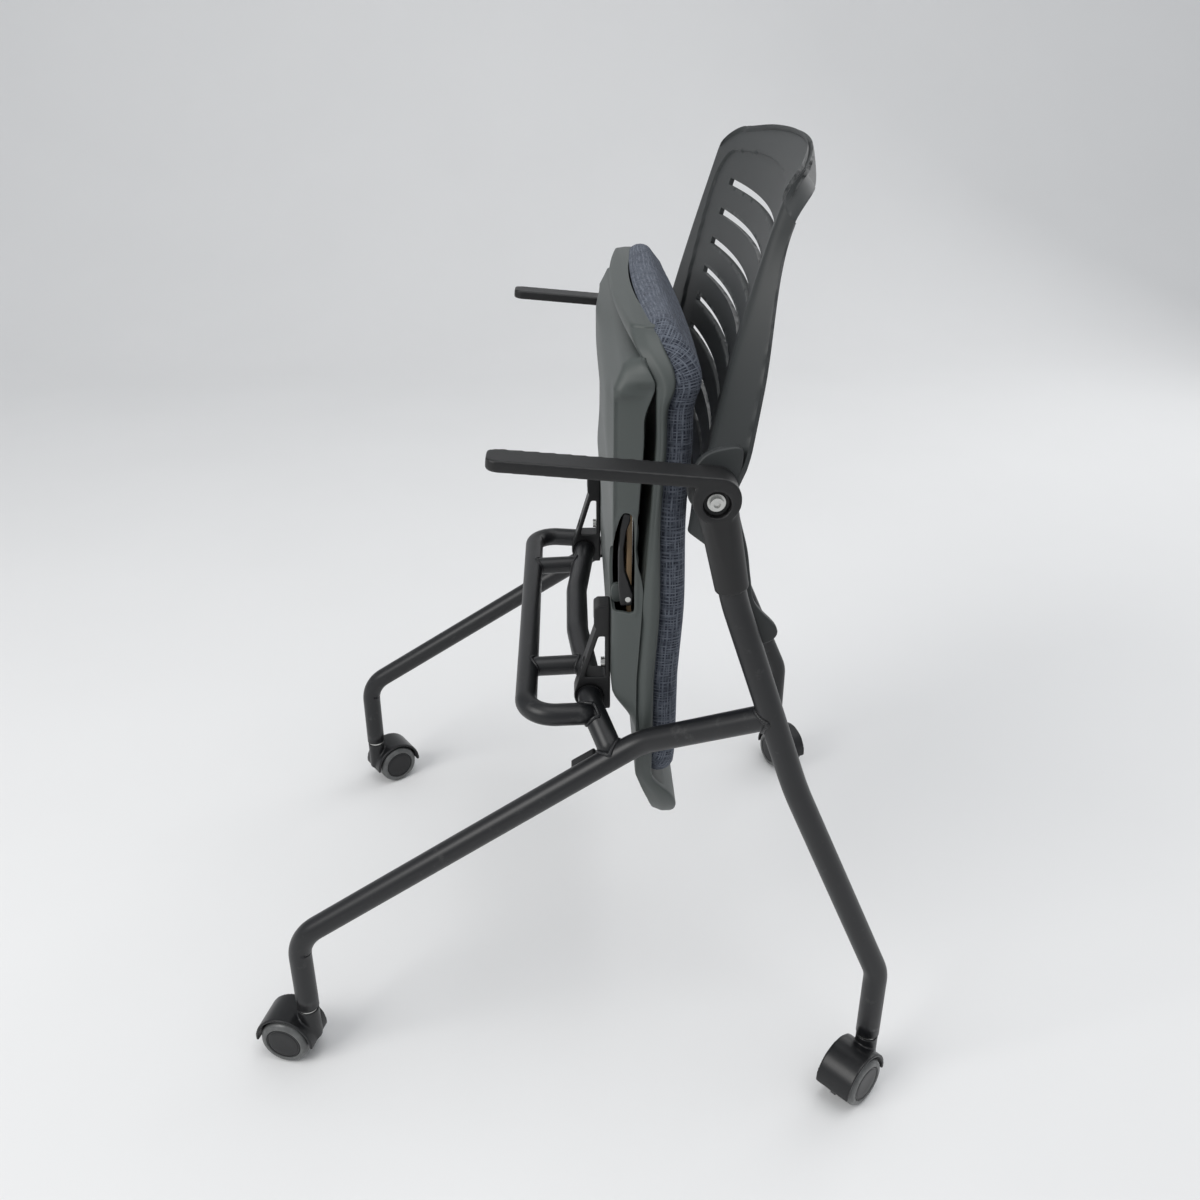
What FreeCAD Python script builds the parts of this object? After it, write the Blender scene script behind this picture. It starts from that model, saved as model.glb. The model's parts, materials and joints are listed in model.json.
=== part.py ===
import FreeCAD, Part
import math
import os

import Sketcher
from FreeCAD import Placement, Rotation, Vector

# Nesting chair with a flip-up seat, on four swivel casters.
# Millimetres, +Z up. The chair faces -Y and the sitter's left is +X.
# The origin is on the floor under the middle of the footprint, and the seat is folded up at rest.

SIZES = [
    # frame tubes
    ("tube_diameter", 22.2, "leg and cross tubes, outside"),
    ("tube_wall", 1.8, "wall of every tube"),
    ("weld_setback", 2.0, "front leg, short of the rear leg's axis"),
    ("loop_diameter", 20.6, "seat support loop and struts, outside"),
    ("mid_plane_x", -16.0, "middle plane of the chair from the middle of the footprint"),
    ("rear_track", 566.0, "between the rear legs, centre to centre"),
    ("front_track", 470.0, "between the front caster stems, centre to centre"),
    ("stem_front_y", -268.0, "front caster stems"),
    ("stem_rear_y", 283.0, "rear caster stems"),
    ("stem_height", 66.0, "lower end of the leg tubes above the floor"),
    ("rear_bend_height", 142.0, "lower bend of the rear legs"),
    ("front_bend_height", 152.0, "lower bend of the front legs"),
    ("leg_bend_radius", 42.0, "lower bends, on the centre line"),
    # seat pivot and what is set out from it
    ("pivot_y", 16.0, "seat pivot axis"),
    ("pivot_height", 383.0, "seat pivot axis above the floor"),
    ("cross_bow", 10.0, "forward bow of the cross tube at its middle"),
    ("loop_reach", 59.0, "support loop in front of the pivot"),
    ("loop_drop", 2.5, "support loop below the pivot"),
    ("loop_span", 404.0, "support loop corners, centre to centre"),
    ("strut_span", 228.0, "struts, centre to centre"),
    ("bracket_span", 324.0, "hinge brackets, middle to middle"),
    ("bracket_width", 22.0, "hinge bracket along the pivot"),
    ("bush_wall", 1.0, "nylon bush on the cross tube"),
    ("hub_wall", 2.4, "bracket wall round the bush"),
    ("running_clearance", 0.05, "radial, at every turning fit"),
    ("seat_swing", 84.0, "degrees from folded to seat down"),
    # arms and upper joint
    ("joint_y", 109.0, "arm screw"),
    ("joint_height", 626.0, "arm screw above the floor"),
    ("eye_radius", 18.5, "round end of the arm moulding"),
    ("socket_wall", 2.4, "arm socket round the leg tube"),
    ("socket_length", 80.0, "arm socket below the arm screw"),
    ("arm_width", 28.0, "arm rest"),
    ("arm_thickness", 9.5, "arm rest"),
    ("arm_length", 171.0, "arm tip in front of the arm screw"),
    ("arm_slope", 5.3, "degrees that the arm rises to its tip"),
    ("screw_diameter", 8.0, "arm screw"),
    ("washer_radius", 7.0, "washer under the arm screw"),
    # backrest
    ("back_rise", 231.0, "top of the back above the arm screw"),
    ("back_drop", 52.0, "bottom of the back panel below the arm screw"),
    ("back_half_width", 200.0, "ridge of the back from the middle plane"),
    ("back_thickness", 4.5, "backrest moulding"),
    ("back_hollow", 21.0, "depth of the hollow across the back"),
    ("slot_count", 8, "slots through the back"),
    ("slot_height", 9.0, "slot"),
    ("slot_pitch", 28.3, "slot to slot"),
    ("slot_half_length", 136.0, "slot from the middle plane"),
    ("ear_thickness", 5.0, "side ear and tail of the back"),
    # seat
    ("seat_length", 431.0, "cushion, front to rear"),
    ("seat_side_gap", 1.0, "seat pan to the knee of each front leg"),
    ("seat_overhang", 81.0, "cushion behind the pivot"),
    ("lip_length", 59.0, "rear lip of the pan behind the cushion"),
    ("cushion_crown", 8.0, "extra height in the middle of the cushion"),
    ("cushion_gap", 0.4, "between cushion and pan"),
    ("front_dip", 12.0, "fall of the front edge from its corners to its middle"),
    ("shell_wall", 3.0, "wall of the under shell"),
    ("board_thickness", 4.0, "plywood seat board"),
    ("plate_thickness", 1.5, "steel plate on the board"),
    # casters
    ("wheel_diameter", 50.0, "caster wheel"),
    ("wheel_width", 16.5, "one wheel of the pair"),
    ("wheel_gap", 7.0, "between the two wheels"),
    ("hood_gap", 2.5, "hood to tread"),
    ("hood_wall", 3.0, "hood"),
    ("caster_trail", 22.5, "axle behind the swivel axis"),
    ("axle_diameter", 6.0, "caster axle"),
    ("pin_diameter", 8.0, "swivel pin"),
    ("neck_radius", 10.5, "neck of the caster hood"),
    ("yaw_front_left", -104.0, "degrees, direction in which the caster trails"),
    ("yaw_front_right", 124.0, "degrees, direction in which the caster trails"),
    ("yaw_rear_left", -48.0, "degrees, direction in which the caster trails"),
    ("yaw_rear_right", 25.0, "degrees, direction in which the caster trails"),
]

doc = FreeCAD.newDocument("NestingChair")
sheet = doc.addObject("Spreadsheet::Sheet", "Sizes")
for row, (alias, number, note) in enumerate(SIZES, start=1):
    sheet.set(f"A{row}", alias)
    sheet.set(f"B{row}", str(number))
    sheet.set(f"C{row}", note)
    sheet.setAlias(f"B{row}", alias)
doc.recompute()


class Size:
    """A size with its value now and the spreadsheet expression that gives it."""

    def __init__(self, value, text):
        self.value = float(value)
        self.text = text

    def __add__(self, other):
        other = as_size(other)
        return Size(self.value + other.value, f"({self.text} + {other.text})")

    def __sub__(self, other):
        other = as_size(other)
        return Size(self.value - other.value, f"({self.text} - {other.text})")

    def __mul__(self, other):
        other = as_size(other)
        return Size(self.value * other.value, f"({self.text} * {other.text})")

    def __truediv__(self, other):
        other = as_size(other)
        return Size(self.value / other.value, f"({self.text} / {other.text})")

    def __radd__(self, other):
        return as_size(other) + self

    def __rsub__(self, other):
        return as_size(other) - self

    def __rmul__(self, other):
        return as_size(other) * self

    def __neg__(self):
        return Size(-self.value, f"(-{self.text})")


def as_size(number):
    """The number itself when it is a Size, or else a Size that holds it."""
    if isinstance(number, Size):
        return number
    return Size(number, f"({number})" if number < 0 else f"{number}")


def size(alias):
    """The cell of the sheet with this alias."""
    return Size(sheet.get(alias), f"Sizes.{alias}")


def mm(alias):
    """The plain number in the cell with this alias."""
    return float(sheet.get(alias))


pieces = []


def finish_piece(item, label):
    """Names a sub-part, which is written to a file of that name."""
    item.Label = label
    pieces.append(item)
    return item


def place(item, x=0, y=0, z=0, axis=None, angle=None):
    """Binds the place of an object to sizes, after an optional turn about an axis."""
    if axis is not None:
        item.Placement = Placement(Vector(0, 0, 0), Rotation(axis, as_size(angle).value))
        if isinstance(angle, Size):
            item.setExpression("Placement.Rotation.Angle", f"{angle.text} * 1 deg")
    for letter, number in zip("xyz", (x, y, z)):
        item.setExpression(f"Placement.Base.{letter}", as_size(number).text)


def feature(label, shape):
    """A sub-part whose shape comes from Part functions, moved to the chair's middle plane."""
    item = doc.addObject("Part::Feature", label)
    item.Shape = shape
    item.Placement = Placement(Vector(mm("mid_plane_x"), 0, 0), Rotation())
    return finish_piece(item, label)


def mirrored(shape):
    """The same shape on the sitter's right."""
    return shape.mirror(Vector(0, 0, 0), Vector(1, 0, 0))


def sides(name, shape):
    """The left sub-part and its mirror image on the right."""
    feature(f"{name}_left", shape)
    feature(f"{name}_right", mirrored(shape))


def group(shapes):
    """Several separate solids as one shape."""
    return Part.makeCompound(shapes)


def prism_x(outline, x_from, x_to):
    """A solid between two X places, from an outline of (Y, Z) points."""
    points = [Vector(x_from, y, z) for y, z in outline]
    face = Part.Face(Part.makePolygon(points + points[:1]))
    return face.extrude(Vector(x_to - x_from, 0, 0))


def rod_x(radius, x_from, x_to, y, z):
    """A cylinder along X."""
    return Part.makeCylinder(radius, x_to - x_from, Vector(x_from, y, z), Vector(1, 0, 0))


def soften(solid, radius, wanted):
    """Rounds the edges for which wanted(edge) holds."""
    edges = [edge for edge in solid.Edges if wanted(edge)]
    return solid.makeFillet(radius, edges) if edges else solid


def smooth(amount):
    """0 below 0, 1 above 1 and an S-shaped rise between."""
    amount = min(max(amount, 0.0), 1.0)
    return amount * amount * (3 - 2 * amount)


# Frame tubes


def bent_path(points, radii):
    """Straight runs through the points, joined by tangent arcs of the radii."""
    edges = []
    start = points[0]
    for before, corner, after, radius in zip(points, points[1:], points[2:], radii):
        inward = (before - corner).normalize()
        outward = (after - corner).normalize()
        half = inward.getAngle(outward) / 2
        reach = radius / math.tan(half)
        first = corner + inward * reach
        last = corner + outward * reach
        middle_way = (inward + outward).normalize()
        centre = corner + middle_way * (radius / math.sin(half))
        middle = centre - middle_way * radius
        edges.append(Part.LineSegment(start, first).toShape())
        edges.append(Part.Arc(first, middle, last).toShape())
        start = last
    edges.append(Part.LineSegment(start, points[-1]).toShape())
    return Part.Wire(edges)


def bar_along(path, radius):
    """A round bar along a path."""
    first = path.Edges[0]
    origin = first.valueAt(first.FirstParameter)
    way = first.tangentAt(first.FirstParameter)
    ring = Part.Wire(Part.makeCircle(radius, origin, way))
    return path.makePipeShell([ring], True, False)


def tube(points, radii, diameter):
    """The bar and the bore of a bent tube."""
    path = bent_path(points, radii)
    outside = bar_along(path, diameter / 2)
    bore = bar_along(path, diameter / 2 - mm("tube_wall"))
    return outside, bore


tube_radius = mm("tube_diameter") / 2
rear_x = mm("rear_track") / 2
front_x = mm("front_track") / 2
pivot = Vector(0, mm("pivot_y"), mm("pivot_height"))
joint = Vector(rear_x, mm("joint_y"), mm("joint_height"))
leg_bend = mm("leg_bend_radius")

rear_foot = Vector(rear_x, mm("stem_rear_y"), mm("stem_height"))
rear_bend = Vector(rear_x, mm("stem_rear_y"), mm("rear_bend_height"))
# The rear leg bends gently at the socket seam and again just below the weld.
socket_way = Vector(0, 0.21, -1).normalize()
rear_seam = joint + socket_way * (mm("socket_length") + 11)
rear_knee = rear_seam + (rear_bend - rear_seam) * 0.462 + Vector(0, -9.6, 0)
rear_top = joint + socket_way * 26
rear_points = [rear_foot, rear_bend, rear_knee, rear_seam, rear_top]
rear_bar, rear_bore = tube(rear_points, [leg_bend, 400, 200], mm("tube_diameter"))
sides("rear_leg", rear_bar.cut(rear_bore))

front_foot = Vector(front_x, mm("stem_front_y"), mm("stem_height"))
front_bend = Vector(front_x, mm("stem_front_y"), mm("front_bend_height"))
front_knee = pivot + Vector(front_x - 9, 43.5, -16.5)
# The front leg runs into the rear leg where that leg passes the height of the weld.
weld_share = (rear_seam.z - pivot.z - 46) / (rear_seam.z - rear_knee.z)
weld = rear_seam + (rear_knee - rear_seam) * weld_share
weld_end = weld + (front_knee - weld).normalize() * mm("weld_setback")
front_points = [front_foot, front_bend, front_knee, weld_end]
front_bar, front_bore = tube(front_points, [leg_bend, 60], mm("tube_diameter"))
weld_room = bar_along(bent_path([rear_knee, rear_seam], []), tube_radius)
sides("front_leg", front_bar.cut(front_bore).cut(weld_room))

# The cross tube is straight through both brackets, bows forward between them and drops to the
# front legs outside them.
bracket_x = mm("bracket_span") / 2
straight_out = Vector(bracket_x + 23, pivot.y, pivot.z)
straight_in = Vector(bracket_x - 21, pivot.y, pivot.z)
bow = Vector(45, pivot.y - mm("cross_bow"), pivot.z)
run = 0.93
cross_end = front_bend + (front_knee - front_bend) * run
cross_half = [cross_end, straight_out, straight_in, bow]
cross_points = cross_half + [Vector(-p.x, p.y, p.z) for p in reversed(cross_half)]
cross_radii = [24, 120, 120, 120, 120, 24]
cross_bar, cross_bore = tube(cross_points, cross_radii, mm("tube_diameter"))
both_front_bars = [front_bar, mirrored(front_bar)]
feature("cross_tube", cross_bar.cut(cross_bore).cut(both_front_bars[0]).cut(both_front_bars[1]))

loop_y = pivot.y - mm("loop_reach")
loop_z = pivot.z - mm("loop_drop")
loop_x = mm("loop_span") / 2
loop_corner = Vector(loop_x, loop_y, loop_z)
loop_end = Vector(loop_x - 6, pivot.y + 2, loop_z - 2)
loop_points = [loop_end, loop_corner]
loop_points += [Vector(-p.x, p.y, p.z) for p in reversed(loop_points)]
loop_bar, loop_bore = tube(loop_points, [26, 26], mm("loop_diameter"))
feature("seat_support_loop", loop_bar.cut(loop_bore).cut(cross_bar))

strut_x = mm("strut_span") / 2
strut_radius = mm("loop_diameter") / 2 - 0.8
strut_reach = Vector(strut_x, pivot.y + 2, pivot.z)
strut_path = bent_path([Vector(strut_x, loop_y, loop_z), strut_reach], [])
strut = bar_along(strut_path, strut_radius).cut(bar_along(strut_path, strut_radius - mm("tube_wall")))
strut = strut.cut(loop_bar).cut(cross_bar)
feature("loop_struts", group([strut, mirrored(strut)]))

# A moulded bumper is clipped to the inner side of each front leg, just in front of the weld.
bumper_middle = front_bend + (front_knee - front_bend) * (run - 0.075)
leg_way = (front_knee - front_bend).normalize()
bumper = Part.makeBox(13, 26, 14, Vector(-6.5, -13, -7))
bumper = soften(bumper, 2, lambda edge: abs(edge.tangentAt(0).x) > 0.9)
lean = math.degrees(math.asin(leg_way.z))
bumper.Placement = Placement(bumper_middle - Vector(tube_radius + 3.5, 0, 0), Rotation(Vector(1, 0, 0), lean))
clip_bore = bar_along(bent_path(front_points, [leg_bend, 60]), tube_radius + 0.1)
sides("nest_bumper", bumper.cut(clip_bore))

# Arms: one moulding each, with the rest, the round eye and the socket over the leg


def cone_between(base, tip, base_radius, tip_radius):
    """A cone frustum from one point to another."""
    way = tip - base
    return Part.makeCone(base_radius, tip_radius, way.Length, base, way)


def arm_shape():
    """The left arm."""
    width = mm("arm_width")
    inner_x = rear_x - mm("arm_width") / 2
    thickness = mm("arm_thickness")
    length = mm("arm_length")
    rest = Part.makeBox(width, length + 4, thickness, Vector(inner_x, -length, -thickness))
    rest = soften(rest, 9, lambda edge: abs(edge.tangentAt(0).z) > 0.9 and edge.CenterOfMass.y < -length / 2)
    rest = soften(rest, 2.2, lambda edge: edge.CenterOfMass.z < -thickness + 0.1 and edge.CenterOfMass.y < 2)
    top = Vector(0, joint.y, joint.z + mm("eye_radius"))
    rest.Placement = Placement(top, Rotation(Vector(1, 0, 0), -mm("arm_slope")))
    eye = rod_x(mm("eye_radius"), inner_x, inner_x + width, joint.y, joint.z)
    seam = joint + socket_way * mm("socket_length")
    socket = cone_between(joint, seam, mm("eye_radius") - 2.5, tube_radius + mm("socket_wall"))
    slab = Part.makeBox(width, 400, 400, Vector(inner_x, joint.y - 200, joint.z - 200))
    body = eye.fuse(socket.common(slab)).fuse(rest)
    bore = bar_along(bent_path([rear_knee, rear_seam, rear_top], [200]), tube_radius + 0.1)
    body = body.cut(bore)
    outer_x = inner_x + width
    recess = rod_x(10.5, outer_x - 7, outer_x + 5, joint.y, joint.z - 3)
    hole = rod_x(mm("screw_diameter") / 2 + 0.2, inner_x - 5, outer_x, joint.y, joint.z - 3)
    return body.cut(recess).cut(hole).removeSplitter()


sides("arm", arm_shape())

screw_z = joint.z - 3
outer_x = rear_x + mm("arm_width") / 2
ear_x = rear_x - mm("arm_width") / 2 - 0.3
washer = rod_x(mm("washer_radius"), outer_x - 7, outer_x - 5.6, joint.y, screw_z)
washer = washer.cut(rod_x(mm("screw_diameter") / 2 + 0.2, outer_x - 8, outer_x, joint.y, screw_z))
feature("arm_washers", group([washer, mirrored(washer)]))
head = rod_x(5.2, outer_x - 5.6, outer_x - 1.4, joint.y, screw_z)
head = head.cut(rod_x(2.6, outer_x - 3.6, outer_x, joint.y, screw_z))
shank = rod_x(mm("screw_diameter") / 2, ear_x - mm("ear_thickness") + 0.5, outer_x - 5.6, joint.y, screw_z)
arm_screw = head.fuse(shank)
feature("arm_screws", group([arm_screw, mirrored(arm_screw)]))

# Backrest: one moulding, hollow across, with side flanges, ears and tails


def back_lean(rise):
    """How far the middle of the back panel lies behind the arm screw, at this height above it."""
    straight = 18 + 0.225 * rise
    curve = 0.00028 * max(rise - 20, 0) ** 2
    roll = 0.0167 * max(rise - 195, 0) ** 2
    return straight + curve + roll


def back_section(rise):
    """The closed outline of the back at one height: panel, ridges and side flanges."""
    y_middle = joint.y + back_lean(rise)
    y_ridge = y_middle - mm("back_hollow")
    thick = mm("back_thickness")
    spread = max(80 - rise, 0) / 80
    half = mm("back_half_width") + (rear_x - 51 - mm("back_half_width")) * min(spread, 1.0)
    end_x = half + 6 + (ear_x - half - 6) * min(spread * 1.15, 1.0)
    flange = 13.5 + 9 * smooth((175 - rise) / 110) + 4 * smooth((rise - 180) / 30)
    flange -= 6 * smooth((30 - rise) / 50)
    front = Part.Arc(
        Vector(-half, y_ridge, 0), Vector(0, y_middle, 0), Vector(half, y_ridge, 0)
    ).toShape()
    rear = Part.Arc(
        Vector(half - thick, y_ridge + thick + 1, 0),
        Vector(0, y_middle + thick, 0),
        Vector(-half + thick, y_ridge + thick + 1, 0),
    ).toShape()
    right_side = [
        Vector(half, y_ridge, 0),
        Vector(end_x, y_ridge + flange, 0),
        Vector(end_x - thick, y_ridge + flange, 0),
        Vector(half - thick, y_ridge + thick + 1, 0),
    ]
    left_side = [Vector(-p.x, p.y, 0) for p in reversed(right_side)]
    lines = [Part.LineSegment(a, b).toShape() for a, b in zip(right_side, right_side[1:])]
    more = [Part.LineSegment(a, b).toShape() for a, b in zip(left_side, left_side[1:])]
    wire = Part.Wire([front] + lines + [rear] + more)
    wire.translate(Vector(0, 0, joint.z + rise))
    return wire


def rounded_outline(half_bottom, half_top, z_bottom, z_top, bottom_radius, top_radius, crown):
    """A front-view outline with round corners and a crowned top, as a face in the XZ plane."""
    corners = [
        (half_bottom, z_bottom, bottom_radius),
        (half_top, z_top - crown, top_radius),
    ]
    points = [Vector(-x, 0, z) for x, z, _ in reversed(corners)]
    points = [Vector(0, 0, z_bottom)] + [Vector(x, 0, z) for x, z, _ in corners]
    points += [Vector(0, 0, z_top)]
    points += [Vector(-x, 0, z) for x, z, _ in reversed(corners)]
    points.append(points[0])
    radii = [bottom_radius, top_radius, 900, top_radius, bottom_radius]
    return Part.Face(bent_path(points, radii))


def back_shape():
    """The whole backrest."""
    rises = [-mm("back_drop") - 20, -20, 0, 25, 50, 75, 100, 130, 160, 185, 200, 213, 224, 233]
    rises.append(mm("back_rise") + 10)
    loft = Part.makeLoft([back_section(rise) for rise in rises], True, False)
    z_bottom = joint.z - mm("back_drop")
    z_top = joint.z + mm("back_rise")
    outline = rounded_outline(ear_x + 4, mm("back_half_width") + 10, z_bottom, z_top, 40, 58, 8)
    outline.translate(Vector(0, joint.y - 60, 0))
    panel = loft.common(outline.extrude(Vector(0, 300, 0)))
    slot_top = joint.z + mm("back_rise") - 62 + mm("slot_height") / 2
    half = mm("slot_half_length")
    for number in range(int(mm("slot_count"))):
        height = mm("slot_height")
        z = slot_top - number * mm("slot_pitch") - height / 2
        slot = Part.makeBox(2 * half, 300, height, Vector(-half, joint.y - 60, z))
        panel = panel.cut(slot)
    side = tail_shape()
    body = panel.fuse(side).fuse(mirrored(side)).removeSplitter()
    hole = rod_x(mm("screw_diameter") / 2, ear_x - 20, ear_x + 5, joint.y, screw_z)
    return body.cut(hole).cut(mirrored(hole))


def tail_shape():
    """The left ear round the arm screw and the tail that runs down behind the leg."""
    thick = mm("ear_thickness")
    seam = joint + socket_way * (mm("socket_length") + 4)
    way = (rear_knee - rear_seam).normalize()
    end = seam + way * 55
    outline = [
        (joint.y - 18, joint.z + 8),
        (joint.y - 8, joint.z + 25),
        (joint.y + 21, joint.z + 30),
        (joint.y + 19, joint.z - 6),
        (seam.y + 14, seam.z + 12),
        (seam.y + 18, seam.z - 15),
        (end.y + 22, end.z + 8),
        (end.y + 14, end.z - 4),
        (end.y + 2, end.z),
        (seam.y - 1, seam.z),
        (joint.y - 6, joint.z - 30),
        (joint.y - 18, joint.z - 10),
    ]
    plate = prism_x(outline, ear_x - thick - 3, ear_x)
    lower = [
        (seam.y + 21, seam.z - 3),
        (end.y + 22, end.z + 8),
        (end.y + 14, end.z - 4),
        (end.y + 2, end.z),
        (seam.y - 1, seam.z - 3),
    ]
    pad = prism_x(lower, ear_x - thick, rear_x - tube_radius - 0.3)
    return plate.fuse(pad).removeSplitter()


feature("back_shell", back_shape())

# Seat: set out from the pivot, in the folded position.
# s runs up the folded seat from the pivot and n runs from the pivot to the sitting side.

seat_rear = -mm("seat_overhang")
seat_front = mm("seat_length") - mm("seat_overhang")
half_width = front_knee.x - tube_radius - mm("seat_side_gap") - 2


def rim_front(s):
    """n of the lower edge of the pan rim at its side: nearly straight, with a waterfall front."""
    rise = 0.060 * max(min(s, seat_front - 50) - 40, 0)
    return 41 + rise - 3 * smooth((s - seat_front + 100) / 50) - 18 * smooth((s - seat_front + 52) / 43)


def rim_rear(s):
    """n of the upper edge of the pan rim, where the cushion begins."""
    narrow = 7 * smooth((s - 90) / 120) * (1 - smooth((s - seat_front + 65) / 40))
    return rim_front(s) + 15 - narrow + 6 * smooth((s - seat_front + 75) / 50)


def sitting(s):
    """n of the sitting face at the cushion's side."""
    fade_rear = 1 - smooth((s - seat_rear) / 24)
    fade_front = smooth((s - (seat_front - 34)) / 34)
    return rim_rear(s) + 22 - 13 * fade_rear - 7 * fade_front


def dip(s):
    """How far the middle of the pan hangs below its sides, towards the front edge."""
    return 0.2 + mm("front_dip") * smooth((s - seat_front + 80) / 70)


def half_at(s, start, end, half, rear_radius, front_radius):
    """Half the width at s of an outline with round corners."""
    width = half
    if s > end - front_radius:
        across = min(s - (end - front_radius), front_radius)
        width = half - front_radius + math.sqrt(front_radius**2 - across**2)
    if s < start + rear_radius:
        across = min(start + rear_radius - s, rear_radius)
        width = half - rear_radius + math.sqrt(rear_radius**2 - across**2)
    return width


def seat_point(x, s, n):
    """A point of the folded seat."""
    return Vector(x, pivot.y + n, pivot.z + s)


def arc_across(s, half, n_side, n_middle):
    """An arc across the seat, through its middle plane."""
    ends = [seat_point(-half, s, n_side), seat_point(0, s, n_middle), seat_point(half, s, n_side)]
    return Part.Arc(*ends).toShape()


def pad_section(s, inner, half, n_low, n_high, crown):
    """A cushion-like outline across the seat: flat below, crowned above, round at the sides."""
    middle = (n_low + n_high) / 2
    low = arc_across(s, inner, n_low, n_low - dip(s))
    right = Part.Arc(
        seat_point(inner, s, n_low), seat_point(half, s, middle), seat_point(inner, s, n_high)
    ).toShape()
    top = Part.Arc(
        seat_point(inner, s, n_high), seat_point(0, s, n_high + crown), seat_point(-inner, s, n_high)
    ).toShape()
    left = Part.Arc(
        seat_point(-inner, s, n_high), seat_point(-half, s, middle), seat_point(-inner, s, n_low)
    ).toShape()
    return Part.Wire([low, right, top, left])


def cushion_solid(grow):
    """The cushion, with its crown and drawn-in sides, grown by a clearance."""
    start = seat_rear - grow
    end = seat_front + grow
    reach = end - start
    stations = [0, 0.006, 0.02, 0.045, 0.08, 0.12, 0.2, 0.32, 0.45, 0.56, 0.64, 0.70, 0.75, 0.80]
    stations += [0.84, 0.88, 0.92, 0.955, 0.98, 0.992, 1]
    wires = []
    for share in stations:
        s = start + reach * share
        at_rest = seat_rear + (seat_front - seat_rear) * share
        half = half_at(at_rest, seat_rear - 6, seat_front + 8, half_width - 1.5, 46, 56)
        n_low = rim_rear(at_rest) - 5
        n_high = sitting(at_rest)
        inner = half - 0.42 * (n_high - n_low)
        ends = smooth((at_rest - seat_rear) / 60) * smooth((seat_front - at_rest) / 60)
        crown = mm("cushion_crown") * ends + 0.4
        wires.append(pad_section(s, inner, half + grow, n_low - grow, n_high + grow, crown))
    return Part.makeLoft(wires, True, True)


def rim_section(s, half, n_low, n_high, slope):
    """An outline across the pan: straight sides that lean in towards the underside."""
    n_middle = n_low + 0.45 * (n_high - n_low)
    sides_of_rim = [
        seat_point(half - slope, s, n_low),
        seat_point(half, s, n_middle),
        seat_point(half - 1, s, n_high),
    ]
    right = [Part.LineSegment(p, q).toShape() for p, q in zip(sides_of_rim, sides_of_rim[1:])]
    other = [Vector(-p.x, p.y, p.z) for p in reversed(sides_of_rim)]
    left = [Part.LineSegment(p, q).toShape() for p, q in zip(other, other[1:])]
    low = arc_across(s, half - slope, n_low, n_low - dip(s))
    high = arc_across(s, half - 1, n_high, n_high - dip(s))
    return Part.Wire([low] + right + [high] + left)


pan_start = seat_rear + 15
pan_end = seat_front - 9
lip_end = seat_rear - mm("lip_length")


def pan_outside(drop):
    """The pan before the cushion's place is cut, with its underside lowered by a clearance."""
    wires = []
    for share in [0, 0.13, 0.28, 0.4, 0.52, 0.63, 0.72, 0.79, 0.84, 0.88, 0.915, 0.945, 0.97, 0.988, 1]:
        s = pan_start + (pan_end - pan_start) * share
        half = half_at(s, lip_end, pan_end + 2, half_width + 2, 60, 56)
        wires.append(rim_section(s, half, rim_front(s) - drop, rim_rear(s), 5))
    return Part.makeLoft(wires, True, True)


def pan_shape():
    """The seat pan: a rim round the cushion, a skin below it and a lip behind it."""
    body = pan_outside(0).cut(cushion_solid(mm("cushion_gap")))
    low = rim_front(pan_start)
    lip_outline = [
        (pan_start, low),
        (lip_end + 55, low + 8),
        (lip_end + 22, low + 18),
        (lip_end + 3, low + 24),
        (lip_end, low + 29),
        (lip_end + 8, low + 36),
        (lip_end + 28, low + 41),
        (seat_rear - 8, low + 33),
        (seat_rear - 1, low + 24),
        (seat_rear - 1, low + 8),
        (pan_start, low + 6),
    ]
    points = [seat_point(-half_width - 2, s, n) for s, n in lip_outline]
    face = Part.Face(Part.makePolygon(points + points[:1]))
    lip = face.extrude(Vector(2 * half_width + 4, 0, 0))
    z_low = pivot.z + lip_end
    view = rounded_outline(half_width - 13, half_width - 2.5, z_low, z_low + 150, 58, 4, 0.5)
    view.translate(Vector(0, pivot.y - 60, 0))
    lip = lip.common(view.extrude(Vector(0, 300, 0)))
    lip = lip.cut(cushion_solid(mm("cushion_gap")))
    body = body.fuse(lip)
    for x in (-120, 120):
        for s in (60, 250):
            base_n = plate_n + mm("plate_thickness")
            height = rim_front(s) - base_n + 1
            boss = Part.makeCylinder(8, height, seat_point(x, s, base_n), Vector(0, 1, 0))
            body = body.fuse(boss)
    return body.removeSplitter()


board_n = 33.0
plate_n = board_n + mm("board_thickness")


shell_start = -16.0
shell_end = seat_front - 26


def shell_face(s):
    """n of the under shell's middle face: a recess at the brackets and a bulge before it."""
    bulge = 5 * smooth((s - 95) / 50)
    hollow = 5 * smooth((s - 110) / 80) - 5 * smooth((s - 180) / 80)
    front = 15 * smooth((s - shell_end + 42) / 46)
    rear = 19 * smooth((24 - s) / 38)
    return 19 - bulge + hollow + front + rear


def shell_edge(s):
    """n of the under shell's open edge, which leaves a long gap under the middle of the rim."""
    gap = 10 * smooth((s - 118) / 50) * (1 - smooth((s - shell_end + 52) / 38))
    return rim_front(s) - 0.3 - gap


def shell_section(s, half, inset):
    """An outline across the under shell, drawn in by a wall."""
    face = shell_face(s) + inset
    edge = shell_edge(s) + (6 if inset else 0)
    shoulder = max(face, min(19 + inset, edge - 4))
    turn = shoulder + min(7, 0.5 * (edge - shoulder))
    points = [
        seat_point(half - inset, s, edge),
        seat_point(half - 6 - inset, s, turn),
        seat_point(half - 15 - inset, s, shoulder + 0.2),
        seat_point(half - 58 - inset, s, face),
    ]
    points += [Vector(-p.x, p.y, p.z) for p in reversed(points)]
    return Part.makePolygon(points + points[:1])


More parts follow.
